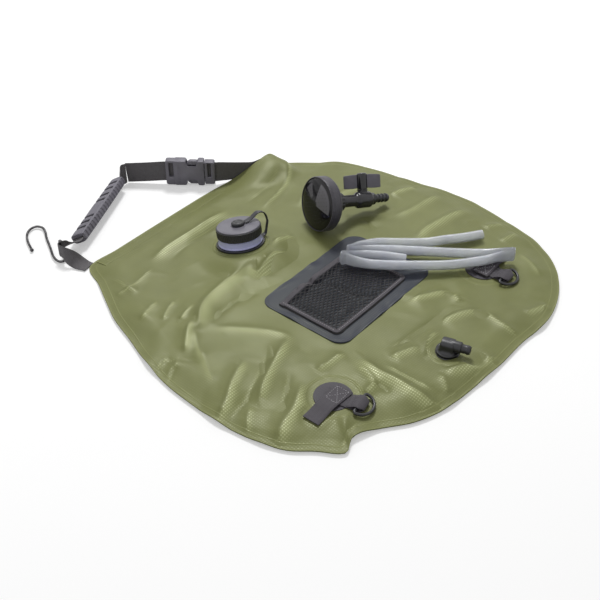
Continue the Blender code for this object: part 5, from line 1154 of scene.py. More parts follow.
def stitches(name, starts, ends, up, radius=0.00036, sides=6):
    """Short threads, each a tapered bar of five rings with its two ends sunk a little, all in one mesh."""
    starts, ends = np.asarray(starts, float), np.asarray(ends, float)
    t = np.array([0.0, 0.15, 0.5, 0.85, 1.0])
    thick = radius * np.array([0.25, 0.9, 1.0, 0.9, 0.25])
    sunk = radius * 0.8 * (2 * np.abs(t - 0.5)) ** 3
    a = np.linspace(0, 2 * math.pi, sides, endpoint=False)
    way = unit(ends - starts)
    side, up = unit(np.cross(way, up)), np.broadcast_to(up, way.shape)
    centre = starts[:, None] + (ends - starts)[:, None] * t[None, :, None] - up[:, None] * sunk[None, :, None]
    c, s = np.cos(a)[None, None, :, None], np.sin(a)[None, None, :, None]
    ring = side[:, None, None] * c + up[:, None, None] * s
    points = (centre[:, :, None] + ring * thick[None, :, None, None]).reshape(-1, 3)
    first = sides * len(t) * np.arange(len(starts))[:, None, None]
    one = np.array([[r * sides + c, r * sides + (c + 1) % sides, (r + 1) * sides + (c + 1) % sides,
                     (r + 1) * sides + c] for r in range(len(t) - 1) for c in range(sides)])
    caps = np.array([np.arange(sides)[::-1], np.arange(sides) + sides * (len(t) - 1)])
    quads, caps = (one[None] + first).reshape(-1, 4), (caps[None] + first).reshape(-1, sides)
    mesh = bpy.data.meshes.new(name)
    mesh.from_pydata(points.tolist(), [], quads.tolist() + caps.tolist())
    mesh.shade_smooth()
    piece = bpy.data.objects.new(name, mesh)
    bpy.context.scene.collection.objects.link(piece)
    bm = bmesh.new()
    bm.from_mesh(mesh)
    bmesh.ops.recalc_face_normals(bm, faces=bm.faces)
    bm.to_mesh(mesh)
    bm.free()
    return piece


def row_of(start, end, pitch, share=0.62):
    """Starts and ends of the stitches of one straight row."""
    start, end = np.asarray(start, float), np.asarray(end, float)
    count = max(1, int(np.linalg.norm(end - start) / pitch))
    t = np.arange(count)[:, None] / count
    return start + (end - start) * t, start + (end - start) * (t + share / count)


thread_black = moulded("thread", (0.400, 0.385, 0.410), 0.6, grain=0.00005, pitch=3000.0)

# %% [markdown]
# # Anchors
# Each anchor is a round woven patch with a loop of tape that holds a D-ring, and a free flap of the same
# tape lies over both. The ring's wire follows a straight bar and half an oval; the loop's tape goes under
# the bar, turns back in a loose tongue inside the ring and is sewn down. The two anchors differ only in
# place, direction and the side to which the flap falls.

# %% Anchors
DISC_R, BAR_AT, BAR_RISE, RING_WIRE, RING_TILT = 0.021, 0.0300, 0.0049, 0.0017, math.radians(10)
RING_HALF, RING_DEPTH, BAR_HALF = 0.0150, 0.0133, 0.0133
TAPE, LOOP_TAPE, TAPE_WIDTH, LOOP_WIDTH = 0.0014, 0.0013, 0.0200, 0.0198
UP = np.array([0, 0, 1.0])


def make_disc(side, centre):
    """The round patch that is welded to the bag."""
    t = np.linspace(0, 2 * math.pi, 120, endpoint=False)
    rim = np.array(centre) + DISC_R * np.stack([np.cos(t), np.sin(t)], axis=1)
    disc = pad("anchor_disc_" + side, rim, lambda x, y: 0 * x + PLATEAU + 0.0003, 0.0009)
    dress(disc, "bag", disc_black, "webbing", "anchor_disc_" + side)


def make_loop(side, base, way, across):
    """Tape from the disc under the ring's bar and back over it to the disc; it narrows inside the ring."""
    flat = mm((-8, 2.2), (4, 2.2), (16, 2.2), (24, 2.0), (31, 1.8), (35.5, 2.1), (37.6, 3.4), (36.8, 5.0),
              (34.5, 6.4), (30.5, 7.6), (27.5, 7.0), (24.5, 5.4), (22.2, 4.2), (19.5, 3.7))
    line = even(smooth_line(np.array(flat), 4), 90)
    centres = base + line[:, :1] * way + line[:, 1:] * UP
    widths = LOOP_WIDTH - 0.0052 * ease((line[:, 0] - 0.0330) / 0.0048)
    loop = band("web_loop_" + side, centres, np.broadcast_to(across, centres.shape), widths, LOOP_TAPE)
    dress(loop, "bag", tape_black, "webbing", "web_loop_" + side)


def make_ring(side, base, way, across):
    """A wire along a straight bar and half an oval, which droops away from the bar."""
    out = way * math.cos(RING_TILT) - UP * math.sin(RING_TILT)
    bar = base + way * BAR_AT + UP * BAR_RISE
    plan = [(0, y) for y in np.linspace(-BAR_HALF, BAR_HALF, 12)]
    plan += [(RING_WIRE + RING_DEPTH * math.cos(v), RING_HALF * math.sin(v))
             for v in np.linspace(math.pi / 2, -math.pi / 2, 40)]
    line = even(smooth_line(np.array(plan), 3, closed=True), 120, closed=True)
    loop = bar + line[:, :1] * out + line[:, 1:] * across
    wire = loop_wire("d_ring_" + side, loop, unit(np.cross(out, across)), RING_WIRE)
    dress(wire, "ring_" + side, black_plastic, "gloss_black", "d_ring_" + side)


def make_flap(side, start, outward):
    """The free tape over the disc, and its stitches: a box with both diagonals."""
    fall = mm((-14, 3.9), (-4, 3.95), (6, 4.0), (16, 3.9), (21, 3.3), (26, 2.3), (31, 1.75), (37, 1.6),
              (43, 1.9))
    line = even(smooth_line(np.array(fall), 6), 60)
    centres = start + line[:, :1] * np.array([outward, 0, 0]) + line[:, 1:] * UP
    centres[:, 1] += 0.0006 * np.sin(line[:, 0] * 90)
    lean = np.stack([0 * line[:, 0], 1 + 0 * line[:, 0], 0.05 * ease((line[:, 0] - 0.02) / 0.02)], axis=1)
    flap = band("flap_strap_" + side, centres, lean, np.full(60, TAPE_WIDTH), TAPE)
    dress(flap, "bag", tape_black, "webbing", "flap_strap_" + side)
    left, right, half, top = -0.0115, 0.009, 0.0075, 0.0048
    starts, ends = [], []
    for x0, x1, y0, y1 in ((left, right, -half, -half), (left, right, half, half),
                           (left, left, -half, half), (right, right, -half, half),
                           (left, right, -half, half), (left, right, half, -half)):
        s, e = row_of((outward * x0, y0, top), (outward * x1, y1, top), 0.0026)
        starts.append(start + s)
        ends.append(start + e)
    rows = stitches("flap_stitches_" + side, np.vstack(starts), np.vstack(ends), UP)
    dress(rows, "bag", thread_black, "webbing")


def make_anchor(side, centre, turn, outward):
    """Disc, loop, ring and flap; turn is the loop's way in degrees, outward is -1 for a flap to the left."""
    a = math.radians(turn)
    way, across = np.array([math.cos(a), math.sin(a), 0]), np.array([-math.sin(a), math.cos(a), 0])
    base = np.array([*centre, PLATEAU])
    make_disc(side, centre)
    make_loop(side, base, way, across)
    make_ring(side, base, way, across)
    make_flap(side, base + np.array([0, -0.004, 0]), outward)


make_anchor("left", LEFT_RING, -78, -1)
make_anchor("right", RIGHT_RING, -88, 1)

# %% [markdown]
# # The pocket
# A slate patch with round corners is welded to the bag, and a net is sewn under a border on three of its
# sides. A real net is knitted. Here each upright thread swings left and right and meets its neighbours at
# every swing, which gives the same small diamonds. The net puffs up, and a deep crease runs across its
# middle.

# %% Pocket patch and border
NET = (-0.080, 0.057, -0.078, 0.008)        # least and most x, least and most y


def rounded_box(half, centre, radius, steps=14):
    """A rectangle whose corners are quarter circles."""
    parts = []
    for sx, sy, start in ((1, 1, 0), (-1, 1, 90), (-1, -1, 180), (1, -1, 270)):
        a = np.radians(np.linspace(start, start + 90, steps))
        middle = centre + (half - radius) * (sx, sy)
        parts.append(middle + radius * np.stack([np.cos(a), np.sin(a)], axis=1))
    return np.vstack(parts)


def patch_wave(x, y, away):
    """Its edge lifts and falls by up to 1 mm in slow waves, where nothing is sewn on it."""
    a = np.arctan2(y - PATCH_AT[1], x - PATCH_AT[0])
    return (0.00055 * np.sin(9 * a) + 0.0004 * np.sin(17 * a + 1)) * (1 - ease(away / 0.012)) + 0.0003


patch = pad("pocket_patch", rounded_box(PATCH_HALF, PATCH_AT, PATCH_ROUND),
            lambda x, y: bag_top(x, y) + 0.0002, 0.0008, rings=40, wave=patch_wave)
dress(patch, "bag", slate_patch, "patch", "pocket_patch")

BORDER_IN, BORDER_CORNER, BORDER_HALF, BORDER_RISE = 0.00425, 0.006, 0.0031, 0.0017
BORDER_LOW = 0.0084             # least height of the border's top


def make_border():
    """A sewn rim, 6 mm wide, along the left, near and right sides; its section is a low arch."""
    x0, x1, y0, y1 = NET
    left, right, near, cut = x0 + BORDER_IN, x1 - BORDER_IN, y0 + BORDER_IN, BORDER_CORNER * 0.3
    plan = [(left, y1), (left, near + BORDER_CORNER), (left + cut, near + cut),
            (left + BORDER_CORNER, near), (right - BORDER_CORNER, near), (right - cut, near + cut),
            (right, near + BORDER_CORNER), (right, y1)]
    line = even(smooth_line(np.array(plan), 16), 340)
    along = unit(np.gradient(line, axis=0))
    side = np.stack([along[:, 1], -along[:, 0]], axis=1)
    way = lengths(line)
    share = np.linspace(-1, 1, 17)
    arch = BORDER_RISE * (1 - np.abs(share) ** 5) * (0.80 + 0.20 * np.cos(share * 2.2))
    lift = (0.0003 * np.sin(way * 160) + 0.0003 * np.sin(way * 311))[:, None]
    line = line + side * (0.0007 * np.sin(way * 95) + 0.0004 * np.sin(way * 230 + 1))[:, None]
    plan = line[:, None] + side[:, None] * (share * BORDER_HALF)[None, :, None]
    low = bag_top(plan[..., 0], plan[..., 1]) + 0.0012
    high = np.maximum(low, BORDER_LOW) + arch + lift * (arch > 0.0008)
    top = np.concatenate([plan, high[..., None]], axis=2)
    under = np.concatenate([plan, low[..., None]], axis=2)[:, ::-1][:, 1:-1]
    return surface("pocket_border", np.concatenate([top, under], axis=1), sharp=60)


dress(make_border(), "bag", net_edge, "patch", "pocket_border")

# %% Pocket net
NET_LOW, NET_PUFF, NET_CREASE = 0.01015, 0.0034, 0.0040
STITCH_IN, STITCH_Z = 0.0045, 0.0114


def net_height(x, y):
    """The net's top: level with the rim at its sides, puffed up between, with a crease from near to far."""
    x0, x1, y0, y1 = NET
    inside = np.minimum(np.minimum(x - x0, x1 - x), y - y0)
    puff = NET_PUFF * ease((inside - 0.005) / 0.022)
    off = (x + 0.012) + 0.45 * (y + 0.03) + 0.004 * np.sin(y * 90)      # how far a place is from the crease
    valley = NET_CREASE * np.exp(-(off / 0.0048) ** 2) * ease((inside - 0.003) / 0.016)
    swell = 0.0012 * np.exp(-((np.abs(off) - 0.013) / 0.007) ** 2)
    swell = swell + 0.0006 * np.sin(x * 120 + 1) * np.sin(y * 95)
    return NET_LOW + puff - valley + swell * ease((inside - 0.004) / 0.012)


def make_net(pitch=0.0042, wave=0.0054, radius=0.00066):
    """Upright threads, each a sine of half the pitch; every second one is turned the other way."""
    x0, x1, y0, y1 = NET
    xs = np.arange(x0 + 0.0055, x1 - 0.0045, pitch)
    y = np.linspace(y0 + 0.0045, y1 - 0.0012, int((y1 - y0) / wave * 10))
    a = np.linspace(0, 2 * math.pi, 6, endpoint=False)
    sign = np.where(np.arange(len(xs)) % 2 == 0, 1, -1)[:, None]
    x = xs[:, None] + sign * pitch * 0.46 * np.sin(2 * math.pi * y / wave)[None]
    z = net_height(x, np.broadcast_to(y, x.shape)) + sign * 0.00012
    threads = []
    for k in range(len(xs)):
        threads.append(tube("thread_%d" % k, np.stack([x[k], y, z[k]], axis=1), radius, count=6))
    return together("net", threads)


def make_net_edge():
    """A folded tape along the net's free top edge and a thin one on the other three sides."""
    x0, x1, y0, y1 = NET
    xs, y = np.linspace(x0 + 0.001, x1 - 0.001, 80), np.full(80, y1 - 0.0035)
    top = np.stack([xs, y, net_height(xs, y) + 0.0001], axis=1)
    hem = band("net_hem", top, np.broadcast_to((0, 1.0, 0), top.shape), np.full(80, 0.0070), 0.0013)
    left, right, near, far = x0 + STITCH_IN, x1 - STITCH_IN, y0 + STITCH_IN, y1 - 0.002
    plan = np.array([(left, far), (left, near + 0.0025), (left + 0.0025, near), (right - 0.0025, near),
                     (right, near + 0.0025), (right, far)])
    line = even(smooth_line(plan, 14), 260)
    along = unit(np.gradient(line, axis=0))
    across = np.stack([along[:, 1], -along[:, 0], 0 * along[:, 0]], axis=1)
    centres = np.concatenate([line, np.full((260, 1), 0.01075)], axis=1)
    rim = band("net_rim", centres, across, np.full(260, 0.0054), 0.0009)
    return together("net_edges", [hem, rim])


def make_net_stitches():
    """One row of stitches on each of the three sewn sides."""
    x0, x1, y0, y1 = NET
    left, right, near = x0 + STITCH_IN, x1 - STITCH_IN, y0 + STITCH_IN
    rows = (((left, y1 - 0.003), (left, near + 0.0035)), ((left + 0.0035, near), (right - 0.0035, near)),
            ((right, near + 0.0035), (right, y1 - 0.003)))
    starts, ends = zip(*[row_of((*a, STITCH_Z), (*b, STITCH_Z), 0.0030) for a, b in rows])
    return stitches("net_stitches", np.vstack(starts), np.vstack(ends), UP)


dress(make_net(), "bag", net_black, "net", "pocket_net")
dress(make_net_edge(), "bag", tape_black, "net", "pocket_net")
dress(make_net_stitches(), "bag", thread_black, "net")

# %% [markdown]
# # The carrying strap
# The webbing stands on its edge, turns round the hook, goes through the rubber grip and on to the buckle.
# Each knot of its line holds a place, the height of its lower edge, its roll away from upright and its
# width; the smooth line carries all five along, so the band twists and narrows where it is bunched.

# %% Strap
FLOOR_GAP, GAP = 0.0004, 0.0003
HOOK_AT, HOOK_LIFT, HOOK_WIRE = np.array([-0.173, 0.277]), 0.005, 0.0015
GRIP_FROM, GRIP_TO, GRIP_ROLL = np.array([-0.143, 0.281]), np.array([-0.022, 0.341]), math.radians(60)
GRIP_WIDE, GRIP_THICK = 0.023, 0.013
STRAP_FOLD, BUCKLE_AT, BUCKLE_TURN = np.array([-0.004, 0.344]), np.array([0.030, 0.302]), math.radians(-52)
SOCKET, PLUG, BUCKLE_HIGH, SLOT_IN = 0.052, 0.0135, 0.037, 0.0045
WEB, WEB_THICK, WEB_BUNCHED, WEB_IN_GRIP, WEB_CORNER = 0.030, 0.0014, 0.019, 0.017, 0.020
STRAP_CORNER = np.array([0.51 * 0.2863, 0.48 * 0.4617])
grip_way = unit(GRIP_TO - GRIP_FROM)
buckle_way = np.array([math.cos(BUCKLE_TURN), math.sin(BUCKLE_TURN)])


def tilted(width, thick):
    """Half the height of a flat bar that leans over as the grip does."""
    return (width * math.cos(GRIP_ROLL) + thick * math.sin(GRIP_ROLL)) / 2


GRIP_MIDDLE = FLOOR_GAP + tilted(GRIP_WIDE, GRIP_THICK)
IN_GRIP = GRIP_MIDDLE - tilted(WEB_IN_GRIP, WEB_THICK)
IN_BUCKLE = FLOOR_GAP + (BUCKLE_HIGH - WEB) / 2


def strap_band(name, knots, steps=14):
    """Webbing from knots (x, y, lift of the lower edge, roll in degrees, width)."""
    rows = smooth_line(np.array(knots) * (1, 1, 1, math.pi / 180, 1), steps)
    plan, roll, width = rows[:, :2], rows[:, 3], rows[:, 4]
    along = unit(np.gradient(plan, axis=0))
    flat = np.stack([along[:, 1], -along[:, 0]], axis=1)
    across = np.concatenate([flat * np.sin(roll)[:, None], np.cos(roll)[:, None]], axis=1)
    height = rows[:, 2] + (np.cos(roll) * width + np.sin(roll) * WEB_THICK) / 2
    centres = np.concatenate([plan, height[:, None]], axis=1)
    return band(name, centres, across, width * 0.985, WEB_THICK * 0.96, count=13)


def left_knots():
    """From the left corner round the hook's wire, through the grip, and flat on its edge to the fold."""
    hx, hy = HOOK_AT
    bend = HOOK_WIRE + GAP + WEB_THICK
    knots = [(-0.1648, 0.2386, FLOOR_GAP, 90, WEB_BUNCHED), (-0.1657, 0.2424, FLOOR_GAP, 88, WEB_BUNCHED),
             (-0.1714, 0.2532, FLOOR_GAP, 50, WEB_BUNCHED),
             (hx - bend, hy - 0.01045, HOOK_LIFT, 8, WEB_BUNCHED),
             (hx - bend, hy - bend, HOOK_LIFT, 0, WEB_BUNCHED),
             (hx - bend * 0.71, hy + bend * 0.71, HOOK_LIFT, 0, WEB_BUNCHED),
             (hx + bend, hy + bend, HOOK_LIFT, 0, WEB_BUNCHED),
             (hx + 0.0095, hy + bend * 1.1, (HOOK_LIFT + IN_GRIP) / 2, 36, WEB_BUNCHED)]
    for point in (GRIP_FROM - grip_way * 0.006, GRIP_FROM, (GRIP_FROM + GRIP_TO) / 2, GRIP_TO):
        knots.append((*point, IN_GRIP, 60, WEB_IN_GRIP))
    knots.append((*(GRIP_TO + grip_way * 0.0015), IN_GRIP - 0.0004, 58, 0.0178))
    knots.append((*(GRIP_TO + (0.0060, 0.0026)), 0.0046, 8, 0.0215))
    knots.append((*(GRIP_TO + (0.0110, 0.0036)), 0.0010, -6, 0.0290))
    knots.append((*(STRAP_FOLD - (0.0011, 0.0002)), FLOOR_GAP, 0, 0.0302))
    return knots


def run_knots():
    """From the fold to the slot of the buckle's socket, rising from the floor to the buckle's middle."""
    back = np.linalg.norm(BUCKLE_AT - STRAP_FOLD)
    reach = SLOT_IN - GAP
    lifts = ((1.0, FLOOR_GAP), (0.5, (FLOOR_GAP + IN_BUCKLE) / 2), (0.12, IN_BUCKLE), (0.0, IN_BUCKLE))
    return [(*(BUCKLE_AT - buckle_way * back * t + buckle_way * reach * (1 - t)), lift, 0, WEB)
            for t, lift in lifts]


def right_knots():
    """From the buckle's plug along the bag's top edge to its right corner."""
    begin = BUCKLE_AT + buckle_way * (SOCKET + 0.0005 + PLUG - SLOT_IN + GAP)
    knots = [(*(begin + buckle_way * WEB * t), IN_BUCKLE, 0, WEB) for t in (0.0, 0.16, 0.22)]
    for t, width in ((0.42, WEB * 0.85), (0.66, WEB_CORNER), (0.86, WEB_CORNER)):
        x = begin[0] + (STRAP_CORNER[0] - begin[0]) * t
        knots.append((x, top_edge(x) + WEB_THICK * 1.15, FLOOR_GAP, 0, width))
    knots.append((*(STRAP_CORNER + (0, 0.0010)), FLOOR_GAP, 0, WEB_CORNER))
    return knots


dress(strap_band("strap_left", left_knots()), "carry_left", strap_black, "webbing", "strap_left")
dress(strap_band("strap_run", run_knots()), "buckle_end", strap_black, "webbing", "strap_run")
dress(strap_band("strap_right", right_knots()), "carry_right", strap_black, "webbing", "strap_right")

# %% [markdown]
# # The grip
# The grip is a rubber sleeve with a flat spine on its outer face and cross grooves on the broad one, in
# two groups. Its section is a superellipse, which lies between an oval and a box: each coordinate is a
# cosine or a sine with its size raised to a power below one. Grooves and the spine's links are subtracted
# along its length.

# %% Grip
GRIP_LENGTH = float(np.linalg.norm(GRIP_TO - GRIP_FROM))
GROOVE_SLOPE, GROOVE_HALF, GROOVE_DEPTH = 0.0012, 2.4, 0.0032   # half its width is given in widths of a slope
GROOVE_SHIFT, GROOVE_REACH = 0.0026, 0.0106                     # the grooves lie beside the spine
LINK_PITCH, LINK_DEPTH, RIDGE_AT = 0.0072, 0.0009, 0.0095
groove_shares = (0.12, 0.215, 0.31, 0.59, 0.685, 0.80, 0.90)


def make_grip():
    """Outer rows from end to end and slot rows back, with grooves pressed in on the side that faces up."""
    cols = np.linspace(0, 2 * math.pi, 96, endpoint=False)
    s, t = np.meshgrid(np.linspace(0, 1, 420), cols, indexing="ij")
    c, d = superellipse(t, 0.55)
    taper = 0.86 + 0.14 * np.clip(np.sin(math.pi * s), 0, 1) ** 0.35
    rounding = np.clip(np.minimum(s, 1 - s) * GRIP_LENGTH / 0.0014, 0, 1) ** 0.5 * 0.10 + 0.90
    y = GRIP_WIDE / 2 * c * taper * rounding
    z = GRIP_THICK / 2 * d * (0.94 + 0.06 * taper) * rounding
    off = [np.abs(s - share) * GRIP_LENGTH / GROOVE_SLOPE for share in groove_shares]
    groove = sum(np.clip(GROOVE_HALF - away, 0, 1) for away in off)
    upper = ease((-d - 0.15) / 0.3) * ease((GROOVE_REACH - np.abs(y + GROOVE_SHIFT)) / 0.0012)
    z = z + GROOVE_DEPTH * groove * upper
    z = z - 0.0005 * np.exp(-((y - RIDGE_AT) / 0.0011) ** 2) * (d < 0)
    links = 0.5 + 0.5 * np.cos(2 * math.pi * s * GRIP_LENGTH / LINK_PITCH)
    y = y - ease((c - 0.75) / 0.2) * LINK_DEPTH * ease((links - 0.45) / 0.25) * (np.abs(d) < 0.62)
    outer = np.stack([s * GRIP_LENGTH, y, z], axis=2)
    a, b = superellipse(cols, 0.4)
    back = np.linspace(1, 0, 12)[:, None] + 0 * cols[None]
    inner = np.stack([back * GRIP_LENGTH, 0.0089 * a[None] + 0 * back, 0.0016 * b[None] + 0 * back], axis=2)
    along = np.array([*grip_way, 0])
    wide = np.array([grip_way[1], -grip_way[0], 0]) * math.sin(GRIP_ROLL) + UP * math.cos(GRIP_ROLL)
    grid = np.concatenate([outer, inner]) @ np.stack([along, wide, np.cross(along, wide)])
    piece = surface("grip", grid + np.array([*GRIP_FROM, GRIP_MIDDLE]), ends="joined", sharp=40)
    # Painted shade: the point attribute darkens the floors of the grooves.
    dark = np.concatenate([np.clip(groove, 0, 1) * upper, 0 * back])
    piece.data.attributes.new("slot", "FLOAT", "POINT").data.foreach_set("value", dark.ravel())
    return piece


dress(make_grip(), "grip_sleeve", grip_rubber, "grip_rubber", "grip")

# %% [markdown]
# # The buckle
# A side release buckle is moulded in two halves. Each half is built from rounded blocks: a flat outline,
# drawn in the plane of the webbing, becomes a filled curve that is extruded and bevelled, and then a mesh.
# Blocks leave the real windows open, through which the prongs of the plug show.

# %% Buckle
buckle_axes = axes((*BUCKLE_AT, FLOOR_GAP + BUCKLE_HIGH / 2), Vector((*buckle_way, 0)), Vector(UP),
                   Vector((*buckle_way, 0)).cross(Vector(UP)))


def slab(name, outline, low, high, matrix, edge=0.0006, hole=None):
    """A flat outline with an optional hole, from low to high along the matrix's Z, its edges bevelled."""
    curve = bpy.data.curves.new(name, "CURVE")
    curve.dimensions, curve.fill_mode, curve.extrude = "2D", "BOTH", (high - low) / 2 - edge
    curve.bevel_depth, curve.bevel_resolution, curve.offset = edge, 2, -edge
    for loop in [outline] + ([hole] if hole is not None else []):
        spline = curve.splines.new("POLY")
        spline.points.add(len(loop) - 1)
        for point, (x, y) in zip(spline.points, loop):
            point.co = (x, y, 0.0, 1.0)
        spline.use_cyclic_u = True
    holder = bpy.data.objects.new(name, curve)
    bpy.context.scene.collection.objects.link(holder)
    graph = bpy.context.evaluated_depsgraph_get()
    mesh = bpy.data.meshes.new_from_object(holder.evaluated_get(graph))
    bpy.data.objects.remove(holder)
    bpy.data.curves.remove(curve)
    mesh.transform(matrix @ Matrix.Translation((0, 0, (low + high) / 2)))
    piece = bpy.data.objects.new(name, mesh)
    bpy.context.scene.collection.objects.link(piece)
    weld(piece, 1e-6)
    piece.data.shade_smooth()
    piece.data.set_sharp_from_angle(angle=math.radians(38))
    return piece


def outline_mm(points, cut=1.2, mirror=True):
    """Outline points in millimetres; mirrored ones are given for y above zero alone."""
    rows = np.array(points, float) / 1000
    if mirror:
        rows = np.vstack([rows, rows[::-1] * (1, -1)])
    return soft_corners(rows, cut / 1000)


def make_socket():
    """Two broad faces with a waist, a bar each side of the webbing slot, and side walls with open windows."""
    face = outline_mm([(11.5, 17.4), (13.5, 18.4), (26.5, 18.4), (28.0, 16.6), (29.5, 11.0), (41.5, 11.0),
                       (43.0, 16.6), (44.5, 18.4), (50.6, 18.4), (52.0, 17.0)])
    base = outline_mm([(0.0, 16.6), (1.8, 18.4), (14.0, 18.4), (15.5, 17.0)], 1.6)
    slot = outline_mm([(4.5, 15.4), (10.5, 15.4), (10.5, -6.0), (4.5, -6.0)], 0.8, False)
    core = outline_mm([(15.0, 10.4), (30.0, 10.4)], 0.4)
    pieces = [slab("face", face, 0.0036, 0.0060, buckle_axes),
              slab("face", face, -0.0060, -0.0036, buckle_axes),
              slab("base", base, -0.0052, 0.0052, buckle_axes, 0.0010, hole=slot),
              slab("core", core, -0.0040, 0.0040, buckle_axes, 0.0004)]
    for sign in (-1, 1):
        for x0, x1 in ((13.5, 27.6), (44.0, 51.6)):
            wall = [(x0, sign * 18.2), (x1, sign * 18.2), (x1, sign * 16.2), (x0, sign * 16.2)]
            pieces.append(slab("wall", outline_mm(wall, 0.3, False), -0.0052, 0.0052, buckle_axes, 0.0003))
    for x0 in (16.2, 18.4):
        ridge = outline_mm([(x0, 12.0), (x0 + 0.9, 12.0)], 0.3)
        pieces.append(slab("ridge", ridge, 0.0057, 0.0063, buckle_axes, 0.0002))
    return together("buckle_socket", pieces)


def make_plug():
    """The base with its slot, two springy prongs with broad heads, and a guide between them."""
    base = outline_mm([(52.7, 16.8), (64.6, 16.8), (66.0, 15.4)], 1.2)
    slot = outline_mm([(56.4, 15.4), (61.2, 15.4), (61.2, -6.0), (56.4, -6.0)], 0.7, False)
    guide = outline_mm([(22.6, 2.4), (24.0, 3.0), (54.0, 3.0)], 0.6)
    pieces = [slab("plug_base", base, -0.0050, 0.0050, buckle_axes, 0.0008, hole=slot),
              slab("guide", guide, -0.0026, 0.0026, buckle_axes)]
    prong = np.array([(54.0, 14.6), (44.5, 14.8), (43.2, 16.2), (41.8, 17.5), (33.0, 17.5), (28.8, 14.2),
                      (29.2, 11.6), (33.0, 11.4), (42.0, 11.6), (54.0, 11.6)])
    for sign in (-1, 1):
        pieces.append(slab("prong", outline_mm(prong * (1, sign), 0.8, False), -0.0030, 0.0030, buckle_axes))
    return together("buckle_plug", pieces)


def tape_in_slot(name, x0, x1, count=12):
    """The bit of webbing that shows in a slot, a little behind the frame's face."""
    along = np.linspace(x0, x1, count) / 1000.0
    bow = 0.0009 * np.sin(np.linspace(0, math.pi, count))
    line = placed(np.stack([along, 0 * along, bow - 0.0004], axis=1), buckle_axes)
    across = np.broadcast_to(np.array(buckle_axes)[:3, 1], line.shape)
    return band(name, line, across, np.full(count, 0.0296), 0.0013)


dress(tape_in_slot("socket_tape", 3.6, 11.2), "buckle_end", strap_black, "webbing")
dress(tape_in_slot("plug_tape", 55.6, 62.0), "carry_right", strap_black, "webbing")
dress(make_socket(), "buckle_end", grey_plastic, "grey_plastic", "buckle_socket")
dress(make_plug(), "carry_right", grey_plastic, "grey_plastic", "buckle_plug")

# %% [markdown]
# # The hook
# One wire makes the hook: a large bend on the floor, a small one that rises, and a ball at each end. The
# ball is a swelling of the tube's own radius, so wire and ball are one surface without a seam.

# %% Hook
HOOK_LENGTH, HOOK_LOW, HOOK_RISE, BALL_R = 0.080, 0.0026, 0.0238, 0.0023
# places along the wire as shares of the hook's length, from the webbing's bend
hook_plan = [(-0.188, 0.513), (-0.081, 0.750), (0.031, 0.906), (0.150, 0.975), (0.256, 0.963),
             (0.300, 0.863), (0.256, 0.738), (0.169, 0.600), (0.031, 0.338), (-0.088, 0.113),
             (-0.113, -0.025), (-0.075, -0.083), (-0.019, -0.063), (0.0, -0.019), (0.0, 0.0), (0.0, 0.0)]
hook_rise = [0.0] * 13 + [0.10, 0.28, 1.0]


def make_hook():
    """A tube of the wire's radius whose radius follows a circle at each end."""
    route = [(*(HOOK_AT + HOOK_LENGTH * np.array(place)), HOOK_LOW + HOOK_RISE * z)
             for place, z in zip(hook_plan, hook_rise)]
    line = even(smooth_line(np.array(route), 12), 260)
    start = line[0] + unit(line[0] - line[1]) * BALL_R
    stop = line[-1] + unit(line[-1] - line[-2]) * BALL_R
    line = np.vstack([np.linspace(start, line[0], 9)[:-1], line, np.linspace(line[-1], stop, 9)[1:]])
    way = lengths(line)
    from_end = np.minimum(way, way[-1] - way)
    ball = np.sqrt(np.clip(BALL_R ** 2 - (from_end - BALL_R) ** 2, 1e-12, None))
    return tube("hook", line, np.where(from_end < BALL_R, ball, np.maximum(ball, HOOK_WIRE)), count=16)


dress(make_hook(), "hanging_hook", steel, "dark_steel", "hook")

# %% [markdown]
# # The spray head
# Rose, nut, valve and hose tail share one axis that slopes down to the bag, and the tap's stem stands
# square to it. The face is a glossy dome; its pits are tiny dark discs set on rings. Two sectors of
# painted highlight, grey on the black, lie on it: a point attribute holds where they lie, computed from
# the angle and the radius on the dome.

# %% Head: axes
HEAD_AT, STEM_AT, TAP_TURN = (0.067, 0.071, 0.0446), 0.0725, math.radians(-32)
HEAD_WAY, STEM_WAY = Vector((0.91853, -0.31270, -0.24192)), Vector((0.35350, 0.37558, 0.85672))
head_axes = axes(HEAD_AT, STEM_WAY, HEAD_WAY.cross(STEM_WAY), HEAD_WAY)
stem_axes = head_axes @ Matrix.Translation((0, 0, STEM_AT))
tap_axes = stem_axes @ Matrix.Rotation(TAP_TURN, 4, "X")
bonnet_axes = stem_axes @ Matrix.Rotation(math.radians(90), 4, "Y")
tap_up = tap_axes @ Matrix.Rotation(math.radians(90), 4, "Y")

# %% Head: rose
FACE_R = 0.0326


def dome(share):
    """How far behind the rim's plane the face lies: 1.2 mm less 4.6 mm times cosine to the power 1.4, where
    the sine is the share of the way out to the rim."""
    return 0.0012 - 0.0046 * np.clip(1 - share ** 2, 0, 1) ** 0.70


def make_face():
    """The dome, closed behind, with a point attribute that is 1 and 0.75 in its two sectors of painted
    highlight.
    """
    share = np.sin(np.linspace(0, math.pi / 2, 26))
    profile = [(FACE_R * a, float(dome(a))) for a in share] + mm((32.6, 4.0), (0, 4.0))
    piece = turned("rose_face", profile, head_axes, count=160, cut=0.0001)
    points = np.empty(len(piece.data.vertices) * 3)
    piece.data.vertices.foreach_get("co", points)
    x, y, _ = placed(points.reshape(-1, 3), head_axes.inverted()).T
    angle, r = np.degrees(np.arctan2(x, y)), np.hypot(x, y) / FACE_R

    def sector(start, end, inner, outer):
        """1 between two angles and two radii, with edges a few points wide."""
        a = np.clip(np.minimum(angle - start, end - angle) * r / 2.5 + 0.5, 0, 1)
        return a * np.clip(np.minimum(r - inner, outer - r) / 0.05 + 0.5, 0, 1)

    # The two sectors of painted highlight, the second one weaker.
    bright = np.maximum(sector(-30, 62, 0.12, 0.86), 0.75 * sector(100, 130, 0.30, 0.84))
    piece.data.attributes.new("sector", "FLOAT", "POINT").data.foreach_set("value", bright)
    return piece


